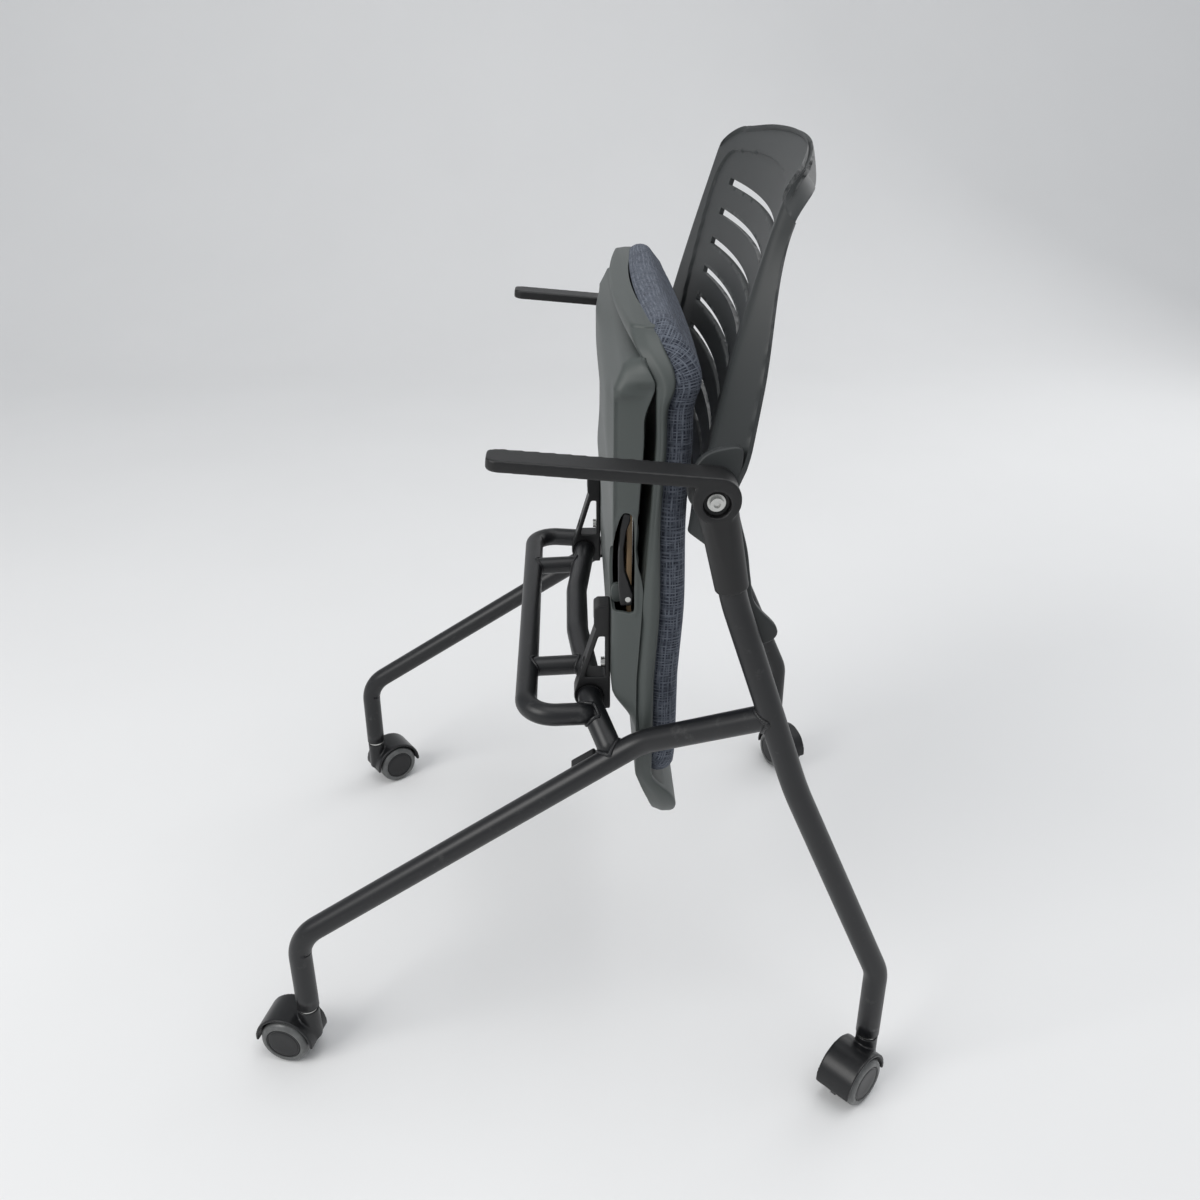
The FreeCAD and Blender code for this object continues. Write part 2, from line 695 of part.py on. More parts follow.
def shell_shape():
    """The under shell: a tray with a bulged face, side panels, a lever pocket and bracket holes."""
    stations = [shell_start, -4, 10, 24, 60, 95, 112, 130, 148, 165, 200, 240]
    stations += [shell_end - back for back in (54, 40, 28, 17, 8, 0)]

    def tray(inset):
        wires = []
        for s in stations:
            s = min(max(s, shell_start + inset), shell_end - inset)
            half = half_at(s, lip_end + 60, shell_end + 24, half_width - 1, 60, 62)
            wires.append(shell_section(s, half, inset))
        return Part.makeLoft(wires, True, True)

    body = tray(0.0).cut(tray(mm("shell_wall"))).cut(pan_outside(0.3))
    wall_x = half_width - 14
    for side in (1, -1):
        panel = [(205, 22), (205, 40), (290, 40), (304, 27), (290, 22)]
        points = [seat_point(side * (half_width - 2.2 - 3.2), s, n) for s, n in panel]
        face = Part.Face(Part.makePolygon(points + points[:1]))
        body = body.cut(face.extrude(Vector(side * 12, 0, 0)))
    pocket = [(104, 20), (104, 38), (194, 38), (196, 22)]
    points = [seat_point(wall_x - 12, s, n) for s, n in pocket]
    face = Part.Face(Part.makePolygon(points + points[:1]))
    body = body.cut(face.extrude(Vector(40, 0, 0)))
    for x in (-bracket_x, bracket_x):
        for s in bracket_screw_s:
            post = Part.makeCylinder(6.2, 40, seat_point(x, s, 0), Vector(0, 1, 0))
            body = body.cut(post)
    lug_n = shell_face(lever_pin_s) + 1
    lug = prism_x(
        [
            (pivot.y + lug_n, pivot.z + lever_pin_s - 7),
            (pivot.y + lever_pin_n + 4, pivot.z + lever_pin_s - 5),
            (pivot.y + lever_pin_n + 4, pivot.z + lever_pin_s + 5),
            (pivot.y + lug_n, pivot.z + lever_pin_s + 7),
        ],
        lever_x - 6,
        lever_x - 0.5,
    )
    lug = lug.cut(rod_x(lever_pin_radius, lever_x - 10, lever_x + 5, pivot.y + lever_pin_n, pivot.z + lever_pin_s))
    return body.fuse(lug).removeSplitter()


lever_x = half_width - 27
lever_pin_s = 112.0
lever_pin_n = 33.0
lever_pin_radius = 2.5
bracket_screw_s = (30.0, 78.0)
hub_radius = tube_radius + mm("bush_wall") + mm("hub_wall")


def strap_lean():
    """The lean of the bracket's strap, with which it lands on the loop when the seat is down."""
    reach = mm("loop_reach")
    drop = mm("loop_drop")
    sum_radii = hub_radius + mm("loop_diameter") / 2 + 0.3
    lean_down = math.asin(sum_radii / math.hypot(reach, drop)) - math.atan2(drop, reach)
    return lean_down - math.radians(90 - mm("seat_swing"))


def bracket_shape():
    """A hinge bracket: hub on the bush, strap that lands on the loop, block and screw posts."""
    x_from = bracket_x - mm("bracket_width") / 2
    x_to = x_from + mm("bracket_width")
    angle = strap_lean()
    tangent = (-hub_radius * math.cos(angle), hub_radius * math.sin(angle))
    top_s = 93.0
    mount_n = 19.0

    def along(s, offset):
        n = tangent[0] + offset / math.cos(angle) + (s - tangent[1]) * math.tan(angle)
        return (n, s)

    strap_s = 70.0
    outline = [
        (tangent[0], tangent[1]),
        along(strap_s, 0),
        (4.0, strap_s + 3),
        (4.0, top_s - 3),
        (8.0, top_s),
        (mount_n, top_s),
        (mount_n, -14.0),
        (0.0, -hub_radius),
    ]
    window = [
        along(20.0, 4.5),
        along(strap_s - 8, 4.5),
        (mount_n - 4.5, strap_s - 8),
        (mount_n - 4.5, 20.0),
    ]
    solid = prism_x([(pivot.y + n, pivot.z + s) for n, s in outline], x_from, x_to)
    solid = solid.fuse(rod_x(hub_radius, x_from, x_to, pivot.y, pivot.z))
    solid = solid.cut(prism_x([(pivot.y + n, pivot.z + s) for n, s in window], x_from - 1, x_to + 1))
    for s in bracket_screw_s:
        post = Part.makeCylinder(6, board_n - mount_n + 2, seat_point(bracket_x, s, mount_n - 2), Vector(0, 1, 0))
        solid = solid.fuse(post)
    bore = tube_radius + mm("bush_wall") + mm("running_clearance")
    solid = solid.cut(rod_x(bore, x_from - 1, x_to + 1, pivot.y, pivot.z))
    for s in bracket_screw_s:
        hole = Part.makeCylinder(2.6, 60, seat_point(bracket_x, s, -20), Vector(0, 1, 0))
        head_room = Part.makeCylinder(5.2, mount_n + 15, seat_point(bracket_x, s, -20), Vector(0, 1, 0))
        solid = solid.cut(hole).cut(head_room)
    return solid.removeSplitter()


feature("seat_cushion", cushion_solid(0.0))
feature("seat_pan", pan_shape())
feature("under_shell", shell_shape())

board_x = half_width - 35
board_length = seat_front - 66
board = Part.makeBox(
    2 * board_x, mm("board_thickness"), board_length, Vector(-board_x, pivot.y + board_n, pivot.z + 14)
)
board = soften(board, 20, lambda edge: abs(edge.tangentAt(0).y) > 0.9)
plate = Part.makeBox(
    2 * board_x - 30,
    mm("plate_thickness"),
    board_length - 20,
    Vector(15 - board_x, pivot.y + plate_n, pivot.z + 24),
)
screws = []
for x in (-bracket_x, bracket_x):
    for s in bracket_screw_s:
        thread = Part.makeCylinder(2.5, plate_n - 13.5, seat_point(x, s, 13.5), Vector(0, 1, 0))
        cap = Part.makeCylinder(4.8, 3.4, seat_point(x, s, 10.6), Vector(0, 1, 0))
        screws.append(cap.fuse(thread))
for screw in screws:
    board = board.cut(screw)
feature("seat_board", board)
feature("seat_plate", plate)
feature("bracket_screws", group(screws))
sides("hinge_bracket", bracket_shape())

bush_from = bracket_x - mm("bracket_width") / 2 - 1.5
bush_to = bracket_x + mm("bracket_width") / 2 + 1.5
bush = rod_x(tube_radius + mm("bush_wall"), bush_from, bush_to, pivot.y, pivot.z)
bush = bush.cut(rod_x(tube_radius, bush_from - 1, bush_to + 1, pivot.y, pivot.z))
sides("hinge_bush", bush)

# Seat release lever in the pocket of the under shell, on the sitter's left

lever_outline = [
    (106.0, 26.5),
    (106.0, 36.5),
    (116.0, 38.0),
    (126.0, 34.5),
    (140.0, 30.0),
    (160.0, 29.0),
    (176.0, 31.0),
    (186.0, 34.5),
    (192.0, 34.0),
    (193.0, 28.0),
    (178.0, 25.5),
    (150.0, 24.5),
    (124.0, 24.7),
]
lever_points = [seat_point(lever_x, s, n) for s, n in lever_outline]
lever_face = Part.Face(Part.makePolygon(lever_points + lever_points[:1]))
lever = lever_face.extrude(Vector(13, 0, 0))
lever = soften(lever, 1.2, lambda edge: abs(edge.tangentAt(0).x) < 0.1 and edge.Length > 9)
pin_y = pivot.y + lever_pin_n
pin_z = pivot.z + lever_pin_s
pin_bore_radius = lever_pin_radius + mm("running_clearance")
lever = lever.cut(rod_x(pin_bore_radius, lever_x - 1, lever_x + 20, pin_y, pin_z))
feature("release_lever", lever)
lever_pin = rod_x(lever_pin_radius, lever_x - 6, lever_x + 12.4, pin_y, pin_z)
feature("lever_pin", lever_pin)

# Casters: stem in the leg, swivelling hood, axle and a pair of wheels with soft treads

wheel_radius = size("wheel_diameter") / 2
trail = size("caster_trail")
axle_radius = size("axle_diameter") / 2
pin_bore = size("pin_diameter") / 2 + size("running_clearance")
hood_radius = wheel_radius + size("hood_gap") + size("hood_wall")
hood_half = size("wheel_gap") / 2 + size("wheel_width") - 1.5
neck_top = size("stem_height") - 4.5
pin_low = wheel_radius + 23


def origin_plane(body, role):
    """One of the body's own origin planes."""
    for item in body.Origin.OriginFeatures:
        if item.Role == role:
            return item
    raise ValueError(role)


def turned_body(name, outline):
    """A body of revolution about its Z axis, from an outline of (radius, height) sizes."""
    body = doc.addObject("PartDesign::Body", name)
    sketch = body.newObject("Sketcher::SketchObject", f"{name}_profile")
    sketch.AttachmentSupport = [(origin_plane(body, "XZ_Plane"), "")]
    sketch.MapMode = "FlatFace"
    points = [(as_size(radius), as_size(height)) for radius, height in outline]
    for (r1, z1), (r2, z2) in zip(points, points[1:] + points[:1]):
        start = Vector(r1.value, z1.value, 0)
        sketch.addGeometry(Part.LineSegment(start, Vector(r2.value, z2.value, 0)), False)
    count = len(points)
    for index in range(count):
        sketch.addConstraint(Sketcher.Constraint("Coincident", index, 2, (index + 1) % count, 1))
    for index, (radius, height) in enumerate(points):
        for kind, number in (("DistanceX", radius), ("DistanceY", height)):
            constraint = Sketcher.Constraint(kind, -1, 1, index, 1, number.value)
            if number.value == 0:
                constraint = Sketcher.Constraint("PointOnObject", index, 1, -2 if kind == "DistanceX" else -1)
            place_in_list = sketch.addConstraint(constraint)
            if number.value != 0:
                sketch.setExpression(f"Constraints[{place_in_list}]", number.text)
    turn = body.newObject("PartDesign::Revolution", f"{name}_turn")
    turn.Profile = sketch
    turn.ReferenceAxis = (sketch, ["V_Axis"])
    turn.Angle = 360
    body.Tip = turn
    return body


def round_rod(name, radius, length, **where):
    """A cylinder bound to sizes."""
    rod = doc.addObject("Part::Cylinder", name)
    rod.setExpression("Radius", as_size(radius).text)
    rod.setExpression("Height", as_size(length).text)
    place(rod, **where)
    return rod


def block(name, lengths, **where):
    """A box bound to sizes."""
    box = doc.addObject("Part::Box", name)
    for side, number in zip(("Length", "Width", "Height"), lengths):
        box.setExpression(side, as_size(number).text)
    place(box, **where)
    return box


def fused(name, items):
    """The union of objects."""
    union = doc.addObject("Part::MultiFuse", name)
    union.Shapes = items
    return union


def cut_away(name, base, tool):
    """One object less another."""
    rest = doc.addObject("Part::Cut", name)
    rest.Base = base
    rest.Tool = tool
    return rest


def hood(name):
    """A caster hood about the swivel axis, trailing towards +X, as a Part boolean tree."""
    x_axis = Vector(1, 0, 0)
    across = {"axis": x_axis, "angle": -90}
    width = hood_half * 2
    dome = round_rod(f"{name}_dome", hood_radius, width, x=trail, y=-hood_half, z=wheel_radius, **across)
    neck = round_rod(f"{name}_neck", size("neck_radius"), neck_top - wheel_radius, z=wheel_radius)
    room = round_rod(
        f"{name}_wheel_room",
        wheel_radius + size("hood_gap"),
        width + 4,
        x=trail,
        y=-hood_half - 2,
        z=wheel_radius,
        **across,
    )
    skirt_cut = block(
        f"{name}_below", (100, 100, 60), x=trail - 50, y=-50, z=wheel_radius - 62
    )
    shell = cut_away(
        f"{name}_shell", fused(f"{name}_outside", [dome, neck]), fused(f"{name}_inside", [room, skirt_cut])
    )
    web_radius = wheel_radius + size("hood_gap") + 0.5
    web_width = size("wheel_gap") - 1
    web = round_rod(f"{name}_web", web_radius, web_width, x=trail, y=-web_width / 2, z=wheel_radius, **across)
    web_below = block(f"{name}_web_below", (100, 100, 60), x=trail - 50, y=-50, z=wheel_radius - 69)
    web_cut = cut_away(f"{name}_web_trimmed", web, web_below)
    axle_bore = round_rod(f"{name}_axle_bore", axle_radius, width, x=trail, y=-hood_half, z=wheel_radius, **across)
    pin_hole = round_rod(f"{name}_pin_hole", pin_bore, neck_top - pin_low + 1.3, z=pin_low - 0.3)
    body = fused(f"{name}_body", [shell, web_cut])
    return cut_away(name, body, fused(f"{name}_bores", [axle_bore, pin_hole]))


corners = [
    ("front_left", 1, size("front_track") / 2, size("stem_front_y")),
    ("front_right", -1, size("front_track") / 2, size("stem_front_y")),
    ("rear_left", 1, size("rear_track") / 2, size("stem_rear_y")),
    ("rear_right", -1, size("rear_track") / 2, size("stem_rear_y")),
]
bore_radius = (size("tube_diameter") / 2) - size("tube_wall")
inserts = []
for corner, side, across, along_y in corners:
    where = {"x": size("mid_plane_x") + across * side, "y": along_y, "z": 0}
    yaw = size(f"yaw_{corner}")
    spin = {"axis": Vector(0, 0, 1), "angle": yaw}

    stem = turned_body(
        f"caster_stem_{corner}",
        [
            (0, pin_low),
            (size("pin_diameter") / 2, pin_low),
            (size("pin_diameter") / 2, size("stem_height") - 4.2),
            (size("tube_diameter") / 2 - 1.6, size("stem_height") - 4.2),
            (size("tube_diameter") / 2 - 1.6, size("stem_height") - 1.6),
            (5.5, size("stem_height") - 1.6),
            (5.5, size("stem_height") + 30),
            (0, size("stem_height") + 30),
        ],
    )
    place(stem, **where)
    finish_piece(stem, f"caster_stem_{corner}")

    insert = turned_body(
        f"stem_insert_{corner}",
        [
            (5.5, size("stem_height") - 1.6),
            (size("tube_diameter") / 2, size("stem_height") - 1.6),
            (size("tube_diameter") / 2, size("stem_height")),
            (bore_radius, size("stem_height")),
            (bore_radius, size("stem_height") + 32),
            (5.5, size("stem_height") + 32),
        ],
    )
    place(insert, **where)
    inserts.append(insert)

    shell = hood(f"caster_hood_{corner}")
    place(shell, **where, **spin)
    finish_piece(shell, f"caster_hood_{corner}")

    half_axle = size("wheel_gap") / 2 + size("wheel_width") - 4
    axle = round_rod(
        f"axle_{corner}", axle_radius, half_axle * 2, x=trail, y=-half_axle, z=wheel_radius,
        axis=Vector(1, 0, 0), angle=-90,
    )
    turned_axle = doc.addObject("Part::Compound", f"caster_axle_{corner}")
    turned_axle.Links = [axle]
    place(turned_axle, **where, **spin)
    finish_piece(turned_axle, f"caster_axle_{corner}")

    for number, way in (("a", 1), ("b", -1)):
        gap = size("wheel_gap") / 2
        width = size("wheel_width")
        tread_depth = 5.5
        hub_radius_size = wheel_radius - tread_depth
        clear = axle_radius + size("running_clearance")
        hub = turned_body(
            f"hub_{corner}_{number}",
            [
                (clear, gap),
                (hub_radius_size, gap),
                (hub_radius_size, gap + width - 0.6),
                (hub_radius_size - 2.5, gap + width),
                (0, gap + width),
                (0, gap + width - 3),
                (clear, gap + width - 3),
            ],
        )
        tread = turned_body(
            f"tread_{corner}_{number}",
            [
                (hub_radius_size, gap),
                (wheel_radius - 1.6, gap),
                (wheel_radius, gap + 1.6),
                (wheel_radius, gap + width - 5.5),
                (wheel_radius - 0.8, gap + width - 2.9),
                (wheel_radius - 2.6, gap + width - 0.9),
                (wheel_radius - 4.4, gap + width - 0.1),
                (hub_radius_size, gap + width - 0.6),
            ],
        )
        for kind, item in (("hub", hub), ("tread", tread)):
            place(item, x=trail, z=wheel_radius, axis=Vector(1, 0, 0), angle=-90 * way)
            held = doc.addObject("Part::Compound", f"{kind}_{corner}_{number}_placed")
            held.Links = [item]
            place(held, **where, **spin)
            finish_piece(held, f"wheel_{kind}_{corner}_{number}")

insert_group = doc.addObject("Part::Compound", "stem_inserts")
insert_group.Links = inserts
finish_piece(insert_group, "stem_inserts")

doc.recompute()
for item in doc.Objects:
    if "Invalid" in item.State or "Error" in item.State:
        raise RuntimeError(f"{item.Label} failed: {item.State}")
os.makedirs("parts", exist_ok=True)
for item in pieces:
    if item.Shape.isNull() or not item.Shape.isValid():
        raise RuntimeError(f"{item.Label} has no valid shape")
for item in pieces:
    item.Shape.exportStep(f"parts/{item.Label}.step")
    print(item.Label, len(item.Shape.Solids), "solids", round(item.Shape.Volume / 1000, 2), "cm3")
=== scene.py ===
"""Nesting chair with a flip-up seat: its visible pieces, finishes, stage and camera.

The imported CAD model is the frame. Lengths in this file are millimetres, except where a name
says otherwise. X runs to the sitter's left from the middle of the chair, -Y is forwards and +Z up.
On the folded seat, s runs up from the pivot and n runs back from the pivot to the sitting side.
"""

import json
import math

import bmesh
import bpy
import numpy as np
from bpy.props import FloatProperty, FloatVectorProperty, PointerProperty
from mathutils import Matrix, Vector


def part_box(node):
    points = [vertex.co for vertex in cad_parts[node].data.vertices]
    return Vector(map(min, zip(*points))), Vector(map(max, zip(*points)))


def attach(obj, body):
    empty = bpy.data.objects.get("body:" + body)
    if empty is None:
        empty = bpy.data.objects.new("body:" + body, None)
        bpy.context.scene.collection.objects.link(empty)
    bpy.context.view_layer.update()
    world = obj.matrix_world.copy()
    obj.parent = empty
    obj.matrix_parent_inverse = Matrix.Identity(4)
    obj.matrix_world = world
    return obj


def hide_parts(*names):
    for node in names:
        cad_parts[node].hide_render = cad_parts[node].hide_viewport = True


bl_info = {
    "name": "Nesting Chair",
    "version": (1, 0, 0),
    "blender": (4, 5, 0),
    "location": "3D View > Sidebar > Nesting Chair",
    "description": "Builds the visible pieces, finishes, stage and camera of a nesting chair",
    "category": "Object",
}

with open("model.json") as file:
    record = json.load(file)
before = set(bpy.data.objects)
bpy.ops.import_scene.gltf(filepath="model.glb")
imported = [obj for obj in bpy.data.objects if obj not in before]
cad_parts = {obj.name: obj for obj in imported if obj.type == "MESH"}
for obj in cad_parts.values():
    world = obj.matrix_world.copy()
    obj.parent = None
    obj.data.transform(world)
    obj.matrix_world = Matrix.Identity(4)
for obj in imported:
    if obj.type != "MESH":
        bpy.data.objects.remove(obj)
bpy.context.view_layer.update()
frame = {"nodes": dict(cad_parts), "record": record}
NODES = frame["nodes"]
MM = 0.001
CORNERS = ("front_left", "front_right", "rear_left", "rear_right")


def box_middle(node):
    """Middle of a CAD node at rest, in millimetres."""
    low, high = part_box(node)
    return np.array((low + high) / 2) / MM


MID_X = box_middle("cross_tube")[0]

# Frame positions, from the middle of the chair
PIVOT_Y, PIVOT_Z = 16.0, 383.0
JOINT_Y, JOINT_Z = 109.0, 626.0
REAR_X, FRONT_X = 283.0, 235.0
FOOT_Z = 66.0
EAR_X = 268.7
HALF_SEAT = 211.9
SEAT_REAR, SEAT_FRONT = -81.0, 350.0
LIP_END = -140.0


# Shader maths


class Sock:
    """A node socket or number that can be used in expressions."""

    def __init__(self, tree, link):
        self.tree = tree
        self.link = link

    def node(self, kind, settings=None, output=0, **values):
        """A node of a type with its settings first and then the values or links of its sockets."""
        made = self.tree.nodes.new(kind)
        for name, value in (settings or {}).items():
            if name == "stops":
                elements = made.color_ramp.elements
                for place, (position, colour) in enumerate(value):
                    stop = elements[place] if place < 2 else elements.new(position)
                    stop.position = position
                    stop.color = colour
            else:
                setattr(made, name, value)
        for name, value in values.items():
            index = int(name[1:]) if name[0] == "i" and name[1:].isdigit() else name.replace("_", " ")
            socket = made.inputs[index]
            if isinstance(value, Sock):
                self.tree.links.new(value.link, socket)
            else:
                socket.default_value = value
        return Sock(self.tree, made.outputs[output])

    def maths(self, operation, *others, **settings):
        """A Math node on this socket and others."""
        values = {f"i{index}": other for index, other in enumerate((self,) + others)}
        return self.node("ShaderNodeMath", {"operation": operation, **settings}, **values)

    def __add__(self, other):
        return self.maths("ADD", other)

    __radd__ = __add__

    def __mul__(self, other):
        return self.maths("MULTIPLY", other)

    __rmul__ = __mul__

    def __sub__(self, other):
        return self.maths("SUBTRACT", other)

    def __rsub__(self, other):
        return self.maths("MULTIPLY", -1.0) + other

    def __truediv__(self, other):
        return self.maths("DIVIDE", other)

    def __pow__(self, other):
        return self.maths("POWER", other)

    def blended(self, low, high):
        """Low where this is 0 and high where it is 1, as colours."""
        return self.node(
            "ShaderNodeMix", {"data_type": "RGBA", "clamp_factor": True}, 2, i0=self, i6=low, i7=high
        )

    def spread(self, low, high, to_low=0.0, to_high=1.0):
        """Maps low..high to another range, clamped."""
        values = {"Value": self, "From_Min": low, "From_Max": high, "To_Min": to_low, "To_Max": to_high}
        return self.node("ShaderNodeMapRange", {"clamp": True}, **values)


def rgb(colour, factor=1.0):
    """A colour with alpha, brightened by a factor."""
    return tuple(min(1.0, part * factor) for part in tuple(colour)[:3]) + (1.0,)


def new_material(name):
    """An empty node material, its shader and a starting socket with object coordinates in it."""
    material = bpy.data.materials.new(name)
    material.use_nodes = True
    tree = material.node_tree
    shader = tree.nodes["Principled BSDF"]
    start = Sock(tree, tree.nodes.new("ShaderNodeTexCoord").outputs["Object"])
    return material, shader, start


def noise(start, scale, detail=2.0, roughness=0.5, place=None):
    """Noise from 0 to 1 on object coordinates or at a given vector."""
    return start.node(
        "ShaderNodeTexNoise", {"noise_dimensions": "3D"}, 0,
        Vector=place or start, Scale=scale, Detail=detail, Roughness=roughness,
    )


def feed(shader, **sockets):
    """Links sockets or sets plain values on a shader."""
    for name, value in sockets.items():
        socket = shader.inputs[name.replace("_", " ")]
        if isinstance(value, Sock):
            value.tree.links.new(value.link, socket)
        else:
            socket.default_value = value


def bump(start, height, strength, distance):
    """A bump from a height, with its depth in metres."""
    return start.node("ShaderNodeBump", None, 0, Strength=strength, Distance=distance, Height=height)


def painted_steel(name, colour):
    """Powder-coated steel: fine orange-peel, faint clouding of the gloss and dust in it."""
    material, shader, start = new_material(name)
    cloud = noise(start, 9.0, 3.0)
    peel = noise(start, 900.0, 2.0, 0.6)
    specks = noise(start, 2400.0, 1.0)
    dust = noise(start, 60.0, 4.0, 0.7).spread(0.60, 0.78)
    base = cloud.blended(rgb(colour, 0.86), rgb(colour, 1.14))
    base = (dust * 0.20).blended(base, rgb((0.16, 0.16, 0.155)))
    feed(
        shader,
        Base_Color=base,
        Roughness=(cloud * 0.10 + specks * 0.06 + dust * 0.10 + 0.30),
        Metallic=0.0,
        Specular_IOR_Level=0.5,
        Normal=bump(start, peel, 0.18, 0.00012),
    )
    return material


def moulded_plastic(name, colour, rough, grain_scale=1500.0, depth=0.00010, marks=0.35):
    """Moulded plastic: spark-eroded grain, flow shading, faint scuffs and handling marks."""
    material, shader, start = new_material(name)
    grain = noise(start, grain_scale, 2.0, 0.55)
    flow = noise(start, 5.0, 2.0)
    squeeze = start.node("ShaderNodeMapping", None, 0, Vector=start, Scale=(1.0, 6.0, 1.2))
    scuff = noise(start, 55.0, 6.0, 0.75, squeeze).spread(0.62, 0.80)
    base = flow.blended(rgb(colour, 0.90), rgb(colour, 1.10))
    base = (grain * 0.16).blended(base, rgb(colour, 1.55))
    base = (scuff * marks * 0.3).blended(base, rgb(colour, 2.2))
    feed(
        shader,
        Base_Color=base,
        Roughness=(flow * 0.08 + grain * 0.08 + scuff * 0.10 + (rough - 0.08)),
        Specular_IOR_Level=0.45,
        Normal=bump(start, grain, 0.35, depth),
    )
    return material


def woven_fabric(name, light, dark, ground):
    """Cross-hatched weave: slubbed pale and dark yarns run both ways over a blue-grey ground.

    The pattern lies on the cushion's own map, which is its cloth laid flat, in metres.
    """
    material, shader, start = new_material(name)
    flat = start.node("ShaderNodeUVMap", {"uv_map": "cloth"}, 0)
    parts = flat.node("ShaderNodeSeparateXYZ", None, 0, Vector=flat)
    across = parts
    along = Sock(start.tree, parts.link.node.outputs[1])

    def sway(scale, shift, reach):
        moved = flat.node("ShaderNodeMapping", None, 0, Vector=flat, Location=shift)
        return (noise(start, scale, 2.0, 0.5, moved) - 0.5) * reach

    def yarns(way, other, pitch, shift, widening):
        """Parallel yarns: a rounded ridge at each pitch, whose strength fades along its length."""
        number = (way / pitch).maths("FLOOR")
        line = start.node("ShaderNodeCombineXYZ", None, 0, X=number * 7.13, Y=other * 55.0, Z=shift)
        slub = noise(start, 1.0, 2.0, 0.6, line)
        place = (way / pitch).maths("FRACT")
        ridge = 1.0 - ((place - 0.5) * 2.0).maths("ABSOLUTE")
        body = ridge.spread(0.50 - widening, 0.85)
        return body, slub.spread(0.36, 0.62)

    bent_across = across + sway(14.0, (0.0, 0.0, 0.0), 0.0030) + sway(90.0, (2.0, 1.0, 0.0), 0.0012)
    bent_along = along + sway(14.0, (5.0, 3.0, 0.0), 0.0030) + sway(90.0, (4.0, 7.0, 0.0), 0.0012)
    fine_a, fade_a = yarns(bent_across, bent_along, 0.0026, 1.0, 0.0)
    fine_b, fade_b = yarns(bent_along, bent_across, 0.0026, 9.0, 0.0)
    bold_a, show_a = yarns(bent_across, bent_along, 0.0041, 21.0, 0.1)
    bold_b, show_b = yarns(bent_along, bent_across, 0.0037, 33.0, 0.1)
    thread_a = yarns(across, along, 0.00062, 41.0, 0.2)[0]
    thread_b = yarns(along, across, 0.00062, 47.0, 0.2)[0]
    weft = (fine_a * fade_a).maths("MAXIMUM", bold_a * show_a * 0.9)
    warp = (fine_b * fade_b).maths("MAXIMUM", bold_b * show_b * 0.9)
    pale = weft.maths("MAXIMUM", warp)
    shade = (bold_a * (1.0 - show_a)).maths("MAXIMUM", bold_b * (1.0 - show_b))
    cloud = noise(start, 12.0, 2.0, 0.5, flat)
    body = cloud.blended(rgb(ground, 0.85), rgb(ground, 1.18))
    colour = (shade * 0.65).blended(body, rgb(dark))
    colour = (pale * 0.80).blended(colour, rgb(light))
    threads = thread_a.maths("MAXIMUM", thread_b)
    # Painted shade: the gaps where neither fine thread lies are darkened towards the dark yarn, as shade
    # would fall in them.
    colour = ((1.0 - threads) * 0.55).blended(colour, rgb(dark, 0.6))
    height = pale * 0.55 + threads * 0.45
    feed(
        shader,
        Base_Color=colour,
        Roughness=0.90,
        Specular_IOR_Level=0.25,
        Sheen_Weight=0.25,
        Sheen_Roughness=0.5,
        Sheen_Tint=(0.55, 0.60, 0.70, 1.0),
        Normal=bump(start, height, 0.55, 0.0004),
    )
    return material


def wheel_rubber(name, colour):
    """Soft translucent-looking grey tread with a ground-in dirty band."""
    material, shader, start = new_material(name)
    dirt = noise(start, 130.0, 5.0, 0.65)
    fine = noise(start, 1200.0, 2.0)
    base = dirt.spread(0.35, 0.70).blended(rgb(colour, 1.15), rgb(colour, 0.70))
    feed(
        shader,
        Base_Color=base,
        Roughness=(dirt * 0.25 + fine * 0.05 + 0.28),
        Coat_Weight=0.25,
        Coat_Roughness=0.2,
        Normal=bump(start, fine, 0.2, 0.00008),
    )
    return material


def plated_steel(name, colour, rough):
    """Plated steel with a fine brushed grain and a few dull blotches."""
    material, shader, start = new_material(name)
    stretched = start.node("ShaderNodeMapping", None, 0, Vector=start, Scale=(1.0, 1.0, 0.05))
    brushed = noise(start, 1600.0, 2.0, 0.5, stretched)
    blotch = noise(start, 45.0, 3.0)
    feed(
        shader,
        Base_Color=blotch.blended(rgb(colour, 0.85), rgb(colour, 1.05)),
        Metallic=1.0,
        Roughness=(brushed * 0.12 + blotch * 0.10 + rough),
        Normal=bump(start, brushed, 0.15, 0.00005),
    )
    return material


def plywood(name, colour):
    """Plywood: long figured grain and darker glue lines."""
    material, shader, start = new_material(name)
    stretched = start.node("ShaderNodeMapping", None, 0, Vector=start, Scale=(14.0, 14.0, 1.0))
    figure = noise(start, 6.0, 5.0, 0.6, stretched)
    base = figure.blended(rgb(colour, 0.75), rgb(colour, 1.15))
    feed(shader, Base_Color=base, Roughness=figure * 0.2 + 0.5, Normal=bump(start, figure, 0.2, 0.0002))
    return material


# Surfaces


def smooth(amount):
    """0 below 0, 1 above 1 and an S-shaped rise between, on whole arrays."""
    amount = np.clip(amount, 0.0, 1.0)
    return amount * amount * (3 - 2 * amount)


def outward(mesh):
    """Turns every face of a closed mesh to look outwards."""
    work = bmesh.new()
    work.from_mesh(mesh)
    bmesh.ops.recalc_face_normals(work, faces=work.faces)
    work.to_mesh(mesh)
    work.free()


def seamed(mesh, front):
    """Joins the seams of an open skin and turns it so that most of it looks towards a front direction."""
    work = bmesh.new()
    work.from_mesh(mesh)
    bmesh.ops.remove_doubles(work, verts=work.verts, dist=0.00001)
    bmesh.ops.delete(work, geom=[vertex for vertex in work.verts if not vertex.link_faces], context="VERTS")
    bmesh.ops.recalc_face_normals(work, faces=work.faces)
    if sum(face.calc_area() * face.normal.dot(front) for face in work.faces) < 0:
        bmesh.ops.reverse_faces(work, faces=work.faces)
    work.to_mesh(mesh)
    work.free()


